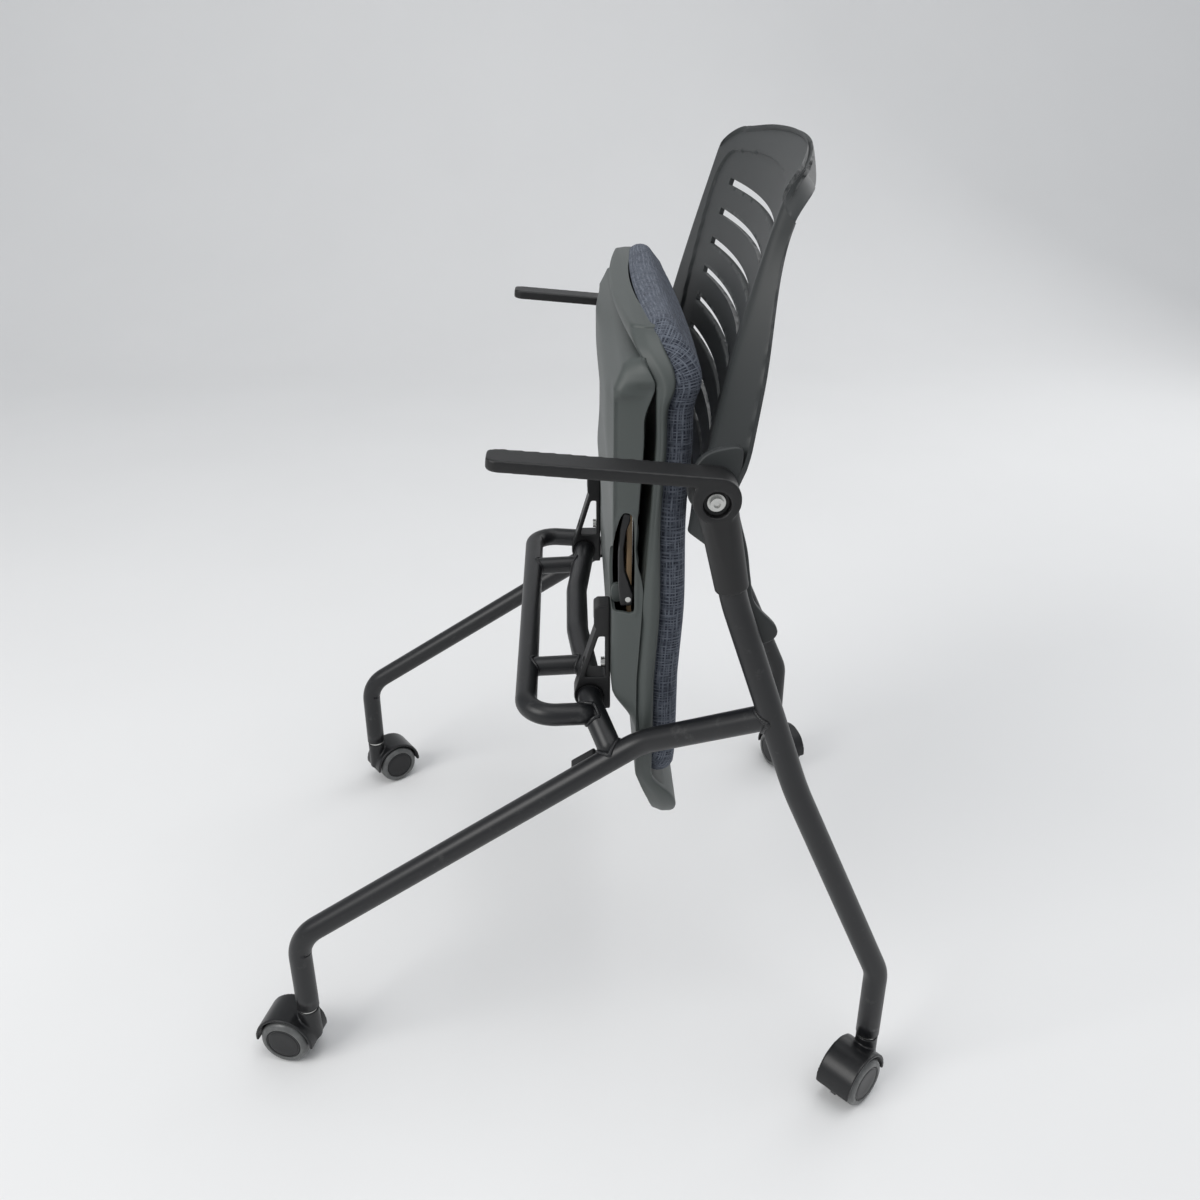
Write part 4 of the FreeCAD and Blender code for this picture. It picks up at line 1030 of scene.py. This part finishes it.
def sitting(s):
    """n of the sitting face at the cushion's side."""
    fade_rear = 1 - smooth((s - SEAT_REAR) / 24)
    fade_front = smooth((s - (SEAT_FRONT - 34)) / 34)
    return rim_rear(s) + 22 - 13 * fade_rear - 7 * fade_front


def dip(s):
    """How far the middle of the pan hangs below its sides, towards the front edge."""
    return 0.2 + 12 * smooth((s - SEAT_FRONT + 80) / 70)


def half_at(s, start, end, half, rear_radius, front_radius):
    """Half the width at s of an outline with round corners."""
    ahead = np.clip(s - (end - front_radius), 0, front_radius)
    behind = np.clip(start + rear_radius - s, 0, rear_radius)
    front = half - front_radius + np.sqrt(front_radius**2 - ahead**2)
    rear = half - rear_radius + np.sqrt(rear_radius**2 - behind**2)
    return np.minimum(front, rear)


def seat_to_room(x, s, n):
    """Points of the folded seat from its own coordinates."""
    return np.stack(np.broadcast_arrays(x, PIVOT_Y + n, PIVOT_Z + s), axis=-1).astype(float)


def plan_ring(half, rear, front, rear_radius, front_radius, spacing=6.0):
    """A closed round-cornered outline in (x, s), its outward normals and its points in order.

    Straight sides and quarter circles follow each other, each with a set number of even steps.
    """
    across = max(2, int((2 * half) / spacing))
    along = max(2, int((front - rear) / spacing))
    turn = 14
    quarter = np.linspace(0, math.pi / 2, turn, endpoint=False)
    runs, normals = [], []
    corners = [
        (half - front_radius, front - front_radius, front_radius, 0.0),
        (-half + front_radius, front - front_radius, front_radius, math.pi / 2),
        (-half + rear_radius, rear + rear_radius, rear_radius, math.pi),
        (half - rear_radius, rear + rear_radius, rear_radius, 3 * math.pi / 2),
    ]
    for index, (x, s, radius, start) in enumerate(corners):
        angle = quarter + start
        runs.append(np.stack([x + radius * np.cos(angle), s + radius * np.sin(angle)], 1))
        normals.append(np.stack([np.cos(angle), np.sin(angle)], 1))
        end_angle = start + math.pi / 2
        end = np.array([x + radius * math.cos(end_angle), s + radius * math.sin(end_angle)])
        next_x, next_s, next_radius, next_start = corners[(index + 1) % 4]
        begin_x = next_x + next_radius * math.cos(next_start)
        begin = np.array([begin_x, next_s + next_radius * math.sin(next_start)])
        count = across if index % 2 == 0 else along
        share = np.linspace(0, 1, count, endpoint=False)[:, None]
        runs.append(end + (begin - end) * share)
        normals.append(np.tile([math.cos(end_angle), math.sin(end_angle)], (count, 1)))
    return np.concatenate(runs), np.concatenate(normals)


def cushion_rings(crown):
    """The cushion's skin as rings from the middle of its underside, round the edge, to its top.

    The edge is half an oval in section. The top rises by crown x (1 - (x / half)^2) and the
    underside hangs with the pan. Each ring also has its place on the cover laid flat.
    """
    half, rear, front = HALF_SEAT - 2.5, SEAT_REAR + 1.0, SEAT_FRONT - 1.5
    outline, normal = plan_ring(half, rear, front, 44, 54)
    centre = np.array([0.0, (rear + front) / 2])
    inset = 11.0
    inner = outline - normal * inset

    def low(x, s):
        s = np.clip(s, SEAT_REAR, SEAT_FRONT)
        return rim_rear(s) - 4.2 - dip(s) * (1 - np.minimum(np.abs(x) / half, 1) ** 2)

    def high(x, s):
        s = np.clip(s, SEAT_REAR, SEAT_FRONT)
        ends = smooth((s - SEAT_REAR) / 70) * smooth((SEAT_FRONT - s) / 70)
        return sitting(s) - 0.8 + crown * ends * (1 - np.minimum(np.abs(x) / half, 1) ** 2)

    rows, flat = [], []
    for share in (0.0, 0.2, 0.4, 0.6, 0.75, 0.88, 0.95, 1.0):
        plan = centre + (inner - centre) * share
        rows.append(seat_to_room(plan[:, 0], plan[:, 1], low(plan[:, 0], plan[:, 1])))
        flat.append(outline + normal * (60 + (1 - share) * 200))
    bottom, top = low(inner[:, 0], inner[:, 1]), high(inner[:, 0], inner[:, 1])
    middle, rise = (bottom + top) / 2, (top - bottom) / 2
    for angle in np.linspace(-70, 70, 9):
        turn = math.radians(angle)
        plan = inner + normal * inset * math.cos(turn)
        rows.append(seat_to_room(plan[:, 0], plan[:, 1], middle + rise * math.sin(turn)))
        flat.append(inner + normal * (math.radians(90 - angle) * 13.0))
    for share in np.concatenate([[1.0], np.linspace(0.985, 0.0, 36)]):
        plan = centre + (inner - centre) * share
        rows.append(seat_to_room(plan[:, 0], plan[:, 1], high(plan[:, 0], plan[:, 1])))
        flat.append(plan)
    return np.stack(rows), np.stack(flat)


class CHAIR_OT_cushion(bpy.types.Operator):
    """Build the crowned, fabric-covered cushion"""

    bl_idname = "chair.cushion"
    bl_label = "Seat cushion"

    def execute(self, context):
        crown = context.scene.chair_sizes.cushion_crown / MM
        rings, flat = cushion_rings(crown)
        vertices, faces = closed_rings(rings)
        poles = np.stack([flat[0].mean(axis=0), flat[-1].mean(axis=0)])
        cloth_map = np.concatenate([flat[1:-1].reshape(-1, 2), poles]) * MM
        piece = hand_over("cushion", vertices, faces, None, None, MATERIALS["cushion_fabric"], loose=True)
        mesh = piece.data
        layer = mesh.uv_layers.new(name="cloth")
        corners = np.zeros(len(mesh.loops), np.int32)
        mesh.loops.foreach_get("vertex_index", corners)
        layer.data.foreach_set("uv", cloth_map[corners].astype(np.float32).reshape(-1))
        outward(piece.data)
        piece.data.shade_smooth()
        settle(piece, "seat", ["seat_cushion"])
        return {"FINISHED"}


def corner_stations(low, high, rear_radius, front_radius, start, end, spacing=6.0):
    """Heights s that come closer together where the plan's round corners turn."""
    front = end - front_radius * (1 - np.sin(np.linspace(0, math.pi / 2, 22)))
    rear = start + rear_radius * (1 - np.sin(np.linspace(0, math.pi / 2, 22)))
    middle = np.arange(start + rear_radius, end - front_radius, spacing)
    every = np.concatenate([front, rear, middle, [low, high]])
    every = np.unique(np.round(every[(every >= low) & (every <= high)], 2))
    return every[np.concatenate([[True], np.diff(every) > 0.35])]


def pan_loops():
    """The pan as closed loops across the seat, from its lip to its front edge.

    Each loop runs out along the underside, round the lower edge, up the leaning side, over the
    rim and down into the dish where the cushion lies. Behind the cushion the dish fills up to
    make the lip.
    """
    pan_end = SEAT_FRONT - 9
    stations = corner_stations(LIP_END + 0.6, pan_end, 60, 56, LIP_END, pan_end + 2)
    step = np.array([-83.0, -81.8])
    stations = np.unique(np.concatenate([stations[np.abs(stations + 82.4) > 1.2], step]))
    front_edge = pan_end + 2.6 * np.sin(np.linspace(0.3, 1.57, 4))
    s = np.concatenate([stations, front_edge])
    shrink = np.concatenate([np.zeros(len(stations)), 2.6 * (1 - np.cos(np.linspace(0.3, 1.57, 4)))])
    half = half_at(np.minimum(s, pan_end), LIP_END, pan_end + 2, HALF_SEAT + 2, 60, 56) - shrink
    half = half * (1 - 0.055 * smooth((-s - 25) / 110))
    at = np.minimum(s, pan_end)
    lip_s = np.array([-140.0, -137, -130, -118, -102, -85, -66])
    lip_low = np.array([26.0, 22.5, 20.0, 17.0, 12.5, 6.5, 0])
    top_s = np.array([-140.0, -137, -130, -120, -108, -96, -88, -82, -74, -66])
    top_n = np.array([30.0, 34.0, 37.5, 40.0, 40.5, 37.5, 33.0, 27.0, 19.5, 15.0])
    base = rim_front(np.maximum(at, -66))
    low = base + np.where(at < -66, np.interp(at, lip_s, lip_low), 0) + shrink
    top = np.where(at < -66, base + np.interp(at, top_s, top_n), rim_rear(at)) - shrink
    hang = dip(at)
    lip = s < -82.4
    height = top - low
    rows = []

    def row(x, n, sag=0.0):
        rows.append((x, n - sag * hang * (1 - np.minimum(np.abs(x) / half, 1) ** 2)))

    for share in np.linspace(0, 1, 14):
        row((half - 7.5) * share, low, 1.0)
    row(half - 6.0, low + 0.3)
    row(half - 5.0, low + 1.2)
    row(half - 4.4, low + 2.4)
    row(half - 1.2, low + 0.36 * height)
    row(half - 0.2, low + 0.46 * height)
    row(half, low + 0.58 * height)
    row(half - 0.1, top - 2.4)
    row(half - 0.7, top - 0.9)
    row(half - 2.0, top - 0.1)
    row(half - 4.2, top)
    row(half - 6.4, top)
    floor = low + 3.0 + (top - low - 3.0) * smooth((at - pan_end + 14) / 8)
    row(half - 7.8, np.where(lip, top, top - 0.9))
    row(half - 8.8, np.where(lip, top, np.maximum(top - 3.0, floor)))
    row(half - 11.0, np.where(lip, top, np.maximum(top - 6.5, floor)))
    for share in np.linspace(1, 0, 12):
        row((half - 14.0) * share, np.where(lip, top, floor), np.where(lip, 0.0, 1.0))
    x = np.stack([a for a, _ in rows], axis=1)
    n = np.stack([b for _, b in rows], axis=1)
    x = np.concatenate([x, -x[:, -2:0:-1]], axis=1)
    n = np.concatenate([n, n[:, -2:0:-1]], axis=1)
    return seat_to_room(x, s[:, None], n)


def capped_loops(points, flip=False):
    """A closed skin from loops whose first and last are closed with strips across their width."""
    rows, columns = points.shape[:2]
    faces = grid_faces(rows, columns, wrap_columns=True, flip=flip).tolist()
    half = columns // 2
    for first, turned in ((0, flip), ((rows - 1) * columns, not flip)):
        here = np.arange(1, half)
        across = columns - here
        after = np.arange(2, half + 1)
        after_across = columns - after
        strips = np.stack([here, after, after_across % columns, across], axis=1)[:-1] + first
        if turned:
            strips = strips[:, ::-1]
        faces += strips.tolist()
        ends = [[0, 1, columns - 1], [half - 1, half, half + 1]]
        faces += [[index + first for index in (end[::-1] if turned else end)] for end in ends]
    return points.reshape(-1, 3), faces


class CHAIR_OT_pan(bpy.types.Operator):
    """Build the seat pan: rim, skin and rear lip"""

    bl_idname = "chair.pan"
    bl_label = "Seat pan"

    def execute(self, context):
        grey = MATERIALS["pan_grey"]
        hand_over("pan_moulding", *capped_loops(pan_loops()), "seat", "pan_grey", grey, ["seat_pan"])
        return {"FINISHED"}


# Under shell

SHELL_START, SHELL_END = -16.0, 324.0
LEVER_X = HALF_SEAT - 27


def shell_face(s):
    """n of the shell's middle face: a recess at the brackets and a bulge before it."""
    bulge = 5 * smooth((s - 95) / 50)
    hollow = 5 * smooth((s - 110) / 80) - 5 * smooth((s - 180) / 80)
    return 19 - bulge + hollow + 15 * smooth((s - SHELL_END + 42) / 46) + 19 * smooth((24 - s) / 38)


def shell_edge(s):
    """n of the open edge, which leaves a long gap under the middle of the rim."""
    gap = 10 * smooth((s - 118) / 50) * (1 - smooth((s - SHELL_END + 52) / 38))
    return rim_front(s) - 0.3 - gap


# The lever pocket's outline, as (s, n)
POCKET = (
    (103.5, 21.0), (103.5, 28.0), (103.5, 35.0), (107.0, 38.0), (125.0, 38.0), (145.0, 38.0), (165.0, 37.6),
    (185.0, 37.0), (193.0, 35.5), (195.5, 31.5), (193.0, 27.0), (183.0, 23.5), (165.0, 19.6), (145.0, 17.4),
    (125.0, 17.0), (108.0, 18.0),
)


def pocket_distance(s, n):
    """Distance to the lever pocket's outline."""
    outline = spline_outline(POCKET, 1.5)
    return np.min(np.hypot(s[..., None] - outline[:, 0], n[..., None] - outline[:, 1]), axis=-1)


def eased(points, passes):
    """Corner cutting along the second axis: each run keeps its quarter points, and the ends stay."""
    for _ in range(passes):
        first = 0.75 * points[:, :-1] + 0.25 * points[:, 1:]
        second = 0.25 * points[:, :-1] + 0.75 * points[:, 1:]
        inner = np.stack([first, second], axis=2).reshape(len(points), -1, points.shape[-1])
        points = np.concatenate([points[:, :1], inner[:, 1:-1], points[:, -1:]], axis=1)
    return points


def resampled(points, count):
    """Each row of points moved to even steps of its own length."""
    rows = []
    for row in points:
        length = np.concatenate([[0], np.cumsum(np.linalg.norm(np.diff(row, axis=0), axis=1))])
        marks = np.linspace(0, length[-1], count)
        rows.append(np.stack([np.interp(marks, length, row[:, axis]) for axis in (0, 1)], axis=1))
    return np.stack(rows)


def shell_grid():
    """The right half of the shell's outer skin as rows along s, and those s.

    A row is a soft-cornered line in (x, n): down the side wall, round the shoulder, over the slope
    and across the face. The side walls step in by 4.2 from s 92 up to about s 300, where the step
    slants.
    """
    s = corner_stations(SHELL_START, SHELL_END, 60, 62, LIP_END + 60, SHELL_END + 24, 5.0)
    s = np.unique(np.concatenate([s, np.arange(98, 204, 2.0), np.arange(286, 314, 2.0)]))
    s = s[np.concatenate([[True], np.diff(s) > 0.7])]
    half = half_at(s, LIP_END + 60, SHELL_END + 24, HALF_SEAT - 1, 60, 62)
    edge, face = shell_edge(s), shell_face(s)
    front_round = 1 - np.sqrt(np.clip(1 - np.clip((s - SHELL_END + 7) / 7, 0, 1) ** 2, 0, 1))
    rear_round = 1 - np.sqrt(np.clip(1 - np.clip((SHELL_START + 7 - s) / 7, 0, 1) ** 2, 0, 1))
    closing = np.maximum(front_round, rear_round)
    face = face + (edge - 0.6 - face) * closing
    shoulder = np.maximum(face, np.minimum(19, edge - 4))
    shoulder = shoulder + (edge - 0.4 - shoulder) * closing
    turn = shoulder + np.minimum(7, 0.5 * (edge - shoulder))

    def recess(n):
        slant = 290 + 14 * np.clip((n - 22) / 16, 0, 1)
        return 4.2 * smooth((slant + 3 - s) / 7) * smooth((s - 92) / 26)

    corner_points = [
        (half - recess(edge), edge),
        (half - 1.5 - recess(edge - 4), edge - 0.25 * (edge - turn)),
        (half - 6 - recess(turn), turn),
        (half - 8.5 - recess(turn) * 0.9, shoulder + 0.45 * (turn - shoulder)),
        (half - 11, shoulder + 0.8),
        (half - 16, shoulder + 0.1),
        (half - 30, shoulder + 0.35 * (face - shoulder)),
        (half - 46, shoulder + 0.85 * (face - shoulder)),
        (half - 60, face),
    ]
    side = np.stack([np.stack([x, n + 0 * x], axis=-1) for x, n in corner_points], axis=1)
    side = eased(side, 2)
    wall = resampled(side, 60)
    flat_share = np.linspace(1, 0, 16)[1:]
    x_flat = (half - 60)[:, None] * flat_share
    middle = np.stack([x_flat, face[:, None] + 0 * x_flat], axis=-1)
    right = np.concatenate([wall, middle], axis=1)
    return s, right


class CHAIR_OT_under_shell(bpy.types.Operator):
    """Build the under shell with its side recesses and lever pocket"""

    bl_idname = "chair.under_shell"
    bl_label = "Under shell"

    def execute(self, context):
        s, right = shell_grid()
        left = right[:, -2::-1] * np.array([-1.0, 1.0])
        both = np.concatenate([right, left], axis=1)
        x, n = both[..., 0], both[..., 1]
        row_s = np.repeat(s[:, None], both.shape[1], axis=1)
        distance = pocket_distance(row_s, n)
        border = np.exp(-(((distance - 1.8) / 1.4) ** 2)) * (x > HALF_SEAT - 40)
        points = seat_to_room(x + 0.9 * border, row_s, n)
        piece = hand_over(
            "under_shell_moulding", points.reshape(-1, 3), grid_faces(*points.shape[:2]).tolist(), None, None,
            MATERIALS["pan_grey"], loose=True,
        )
        seamed(piece.data, Vector((0, -1, 0)))
        with_modifier(piece, "SOLIDIFY", thickness=0.0028, offset=-1.0, use_even_offset=False)
        applied(piece)
        outward(piece.data)
        outline = spline_outline([(PIVOT_Y + n, PIVOT_Z + s) for s, n in POCKET], 1.0)
        cutter = hand_over(
            "pocket_cutter", *prism(outline, HALF_SEAT - 34, HALF_SEAT + 12, 0.2), None, None,
            MATERIALS["pan_grey"], loose=True,
        )
        outward(cutter.data)
        with_modifier(piece, "BOOLEAN", operation="DIFFERENCE", solver="EXACT", use_self=True, object=cutter)
        applied(piece)
        bpy.data.objects.remove(cutter)
        with_modifier(
            piece, "BEVEL", width=0.0007, segments=2, limit_method="ANGLE", angle_limit=math.radians(55)
        )
        applied(piece)
        settle(piece, "seat", ["under_shell"])
        lug = [(PIVOT_Y + 21, PIVOT_Z + 104), (PIVOT_Y + 37, PIVOT_Z + 107)]
        lug += [(PIVOT_Y + 37, PIVOT_Z + 117), (PIVOT_Y + 21, PIVOT_Z + 120)]
        hand_over(
            "lever_lug", *prism(spline_outline(lug, 2.0), LEVER_X - 6, LEVER_X - 0.5, 0.6),
            "seat", "pan_grey", MATERIALS["pan_grey"],
        )
        return {"FINISHED"}


# Hinges, lever and bumpers


class CHAIR_OT_fittings(bpy.types.Operator):
    """Round off the hinge brackets, release lever and nesting bumpers"""

    bl_idname = "chair.fittings"
    bl_label = "Brackets, lever and bumpers"

    def execute(self, context):
        nylon = MATERIALS["black_nylon"]
        for side in ("left", "right"):
            softened_copy(f"bracket_{side}", f"hinge_bracket_{side}", 0.0009, 4, "seat", nylon)
            softened_copy(f"bumper_{side}", f"nest_bumper_{side}", 0.0006, 4, "frame", nylon)
        softened_copy("seat_lever", "release_lever", 0.0006, 4, "release_lever", nylon)
        return {"FINISHED"}


# Casters

YAWS = {"front_left": -104.0, "front_right": 124.0, "rear_left": -48.0, "rear_right": 25.0}
TRAIL, WHEEL_GAP, WHEEL_WIDTH, HUB_RADIUS = 22.5, 7.0, 16.5, 19.5


def annulus(profile, axis_point, axis, sides=96):
    """A closed ring from a closed profile of (radius, distance along the axis), turned about the axis."""
    axis = np.array(axis, float) / np.linalg.norm(axis)
    across = np.cross(axis, np.array([0.0, 0.0, 1.0]))
    across /= np.linalg.norm(across)
    up = np.cross(axis, across)
    profile = np.array(profile, float)
    turn = np.linspace(0, 2 * math.pi, sides, endpoint=False)
    ring = np.cos(turn)[None, :, None] * across + np.sin(turn)[None, :, None] * up
    points = np.array(axis_point, float) + profile[:, 1, None, None] * axis
    points = points + ring * profile[:, 0, None, None]
    faces = grid_faces(len(profile), sides, wrap_rows=True, wrap_columns=True, flip=True)
    return points.reshape(-1, 3), faces.tolist()


def tyre_profile(radius):
    """The tread's section: flat inner face, rolled shoulders and a lip over the disc's edge."""
    near, far = WHEEL_GAP / 2, WHEEL_GAP / 2 + WHEEL_WIDTH
    turn = np.linspace(0, math.pi / 2, 9)
    outer = np.stack([radius - 5.2 + 5.2 * np.cos(turn), far - 5.4 + 5.4 * np.sin(turn)], axis=1)
    inner = np.stack([radius - 1.6 + 1.6 * np.sin(turn), near + 1.6 - 1.6 * np.cos(turn)], axis=1)
    seat = HUB_RADIUS - 1.3
    lip = np.array([(seat + 0.4, far - 0.15), (seat, far - 0.6), (seat, far - 1.6)])
    foot = np.array([(seat, near + 0.3), (seat + 0.3, near)])
    ribs = np.linspace(near + 1.9, far - 5.8, 8)[1:-1]
    tread = np.stack([np.full(len(ribs), radius), ribs], axis=1)
    return np.concatenate([foot, inner, tread, outer, lip])


def disc_profile():
    """The hub's section: a slightly dished disc with a groove inside its edge."""
    near, far = WHEEL_GAP / 2, WHEEL_GAP / 2 + WHEEL_WIDTH
    return [
        (0.0, near + 1.0), (4.0, near + 1.0), (4.6, near + 0.3), (HUB_RADIUS - 2.4, near + 0.2),
        (HUB_RADIUS - 1.5, near + 0.9), (HUB_RADIUS - 1.5, far - 1.5), (HUB_RADIUS - 1.7, far - 0.75),
        (HUB_RADIUS - 2.1, far - 0.45), (HUB_RADIUS - 2.8, far - 0.40), (HUB_RADIUS - 3.1, far - 0.85),
        (HUB_RADIUS - 3.5, far - 0.90), (HUB_RADIUS - 3.9, far - 0.45), (HUB_RADIUS - 4.8, far - 0.30),
        (9.0, far - 0.55), (4.0, far - 0.62), (0.0, far - 0.64),
    ]


class CHAIR_OT_casters(bpy.types.Operator):
    """Build the caster hoods and the turned wheels with soft treads"""

    bl_idname = "chair.casters"
    bl_label = "Casters"

    def execute(self, context):
        radius = context.scene.chair_sizes.wheel_diameter / MM / 2
        for corner in CORNERS:
            side = 1 if corner.endswith("left") else -1
            x = side * (FRONT_X if corner.startswith("front") else REAR_X)
            y = -268.0 if corner.startswith("front") else 283.0
            yaw = math.radians(YAWS[corner])
            centre = (x + TRAIL * math.cos(yaw), y + TRAIL * math.sin(yaw), radius)
            softened_copy(
                f"hood_{corner}", f"caster_hood_{corner}", 0.0009, 5,
                f"caster_{corner}", MATERIALS["caster_black"],
            )
            for letter, way in (("a", 1), ("b", -1)):
                axis = (-way * math.sin(yaw), way * math.cos(yaw), 0.0)
                body = f"wheel_{corner}_{letter}"
                disc = lathe(disc_profile(), centre, axis)
                tyre = annulus(tyre_profile(radius), centre, axis)
                for name, part, slot, node in (
                    ("disc", disc, "caster_black", "wheel_hub"),
                    ("tyre", tyre, "tread_grey", "wheel_tread"),
                ):
                    end = f"{corner}_{letter}"
                    hand_over(f"{name}_{end}", *part, body, slot, MATERIALS[slot], [f"{node}_{end}"])
        return {"FINISHED"}


# Stage

# In metres
FLOOR_FRONT, FLOOR_REACH = 6.0, 9.0
WALL_BEND_X, WALL_BEND, WALL_HEIGHT = -2.2, 1.4, 6.0
CAMERA_PLACE = (1.071, 0.0, 0.950)
CAMERA_YAW, CAMERA_PITCH = 0.0279, 0.4725
CAMERA_LENS = 34.67


def area_light(name, place, aim, size, power, colour=(1.0, 1.0, 1.0)):
    """A soft square lamp that faces a point, in metres and watts."""
    lamp = bpy.data.lights.new(name, "AREA")
    lamp.shape = "SQUARE"
    lamp.size = size
    lamp.energy = power
    lamp.color = colour
    item = bpy.data.objects.new(name, lamp)
    bpy.context.scene.collection.objects.link(item)
    item.location = place
    item.rotation_euler = (Vector(aim) - Vector(place)).to_track_quat("-Z", "Y").to_euler()
    return item


class CHAIR_OT_stage(bpy.types.Operator):
    """Lay the pale floor and backdrop, hang the soft lights and place the camera"""

    bl_idname = "chair.stage"
    bl_label = "Stage"

    def execute(self, context):
        colours = context.scene.chair_colours
        scene = context.scene
        material, shader, start = new_material("pale_floor")
        speckle = noise(start, 3.0, 3.0)
        feed(
            shader,
            Base_Color=speckle.blended(rgb(colours.floor, 0.98), rgb(colours.floor, 1.02)),
            Roughness=0.85,
            Specular_IOR_Level=0.2,
        )
        turn = np.linspace(0, math.pi / 2, 24)
        bend_x = WALL_BEND_X - WALL_BEND * np.sin(turn)
        run_x = np.concatenate([[FLOOR_FRONT], bend_x, bend_x[-1:]])
        run_z = np.concatenate([[0.0], WALL_BEND * (1 - np.cos(turn)), [WALL_HEIGHT]])
        along = np.array([-FLOOR_REACH, FLOOR_REACH])
        grid = np.stack([np.stack([run_x, np.full(len(run_x), y), run_z], axis=1) for y in along], axis=1)
        mesh = bpy.data.meshes.new("floor")
        mesh.from_pydata(grid.reshape(-1, 3), [], grid_faces(len(run_x), 2).tolist())
        mesh.shade_smooth()
        mesh.materials.append(material)
        floor = bpy.data.objects.new("floor", mesh)
        scene.collection.objects.link(floor)

        world = bpy.data.worlds.new("room")
        scene.world = world
        world.use_nodes = True
        background = world.node_tree.nodes["Background"]
        background.inputs["Color"].default_value = (0.93, 0.96, 1.0, 1.0)
        background.inputs["Strength"].default_value = 0.50
        area_light("window", (1.6, -2.2, 2.3), (0.0, 0.0, 0.45), 1.8, 50.0, (1.0, 0.99, 0.97))
        area_light("ceiling", (0.4, 0.6, 3.2), (0.0, 0.0, 0.3), 2.6, 40.0)
        area_light("back_fill", (-1.8, 2.0, 1.6), (0.0, 0.0, 0.4), 1.6, 14.0)

        camera = bpy.data.cameras.new("camera")
        camera.lens = CAMERA_LENS
        camera.sensor_width = 36.0
        camera.dof.use_dof = False
        item = bpy.data.objects.new("camera", camera)
        scene.collection.objects.link(item)
        item.location = CAMERA_PLACE
        forward = Vector(
            (
                -math.cos(CAMERA_YAW) * math.cos(CAMERA_PITCH),
                math.sin(CAMERA_YAW) * math.cos(CAMERA_PITCH),
                -math.sin(CAMERA_PITCH),
            )
        )
        item.rotation_euler = forward.to_track_quat("-Z", "Y").to_euler()
        scene.camera = item
        scene.view_settings.view_transform = "Standard"
        return {"FINISHED"}


OPERATORS = (
    CHAIR_OT_finishes,
    CHAIR_OT_stage,
    CHAIR_OT_frame,
    CHAIR_OT_back,
    CHAIR_OT_arms,
    CHAIR_OT_cushion,
    CHAIR_OT_pan,
    CHAIR_OT_under_shell,
    CHAIR_OT_fittings,
    CHAIR_OT_casters,
)


class CHAIR_PT_panel(bpy.types.Panel):
    """The chair's pieces, sizes and colours"""

    bl_label = "Nesting Chair"
    bl_idname = "CHAIR_PT_panel"
    bl_space_type = "VIEW_3D"
    bl_region_type = "UI"
    bl_category = "Nesting Chair"

    def draw(self, context):
        layout = self.layout
        for group in (context.scene.chair_sizes, context.scene.chair_colours):
            box = layout.box()
            for name in group.__annotations__:
                box.prop(group, name)
        for operator in OPERATORS:
            layout.operator(operator.bl_idname)


CLASSES = (ChairSizes, ChairColours) + OPERATORS + (CHAIR_PT_panel,)


def register():
    """Registers the classes and hangs their settings on the scene."""
    for item in CLASSES:
        bpy.utils.register_class(item)
    bpy.types.Scene.chair_sizes = PointerProperty(type=ChairSizes)
    bpy.types.Scene.chair_colours = PointerProperty(type=ChairColours)


def unregister():
    """Takes the settings and classes away again."""
    del bpy.types.Scene.chair_colours
    del bpy.types.Scene.chair_sizes
    for item in reversed(CLASSES):
        bpy.utils.unregister_class(item)


def main():
    """Registers the add-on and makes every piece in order."""
    register()
    for operator in OPERATORS:
        group, name = operator.bl_idname.split(".")
        getattr(getattr(bpy.ops, group), name)()


if __name__ == "__main__":
    main()
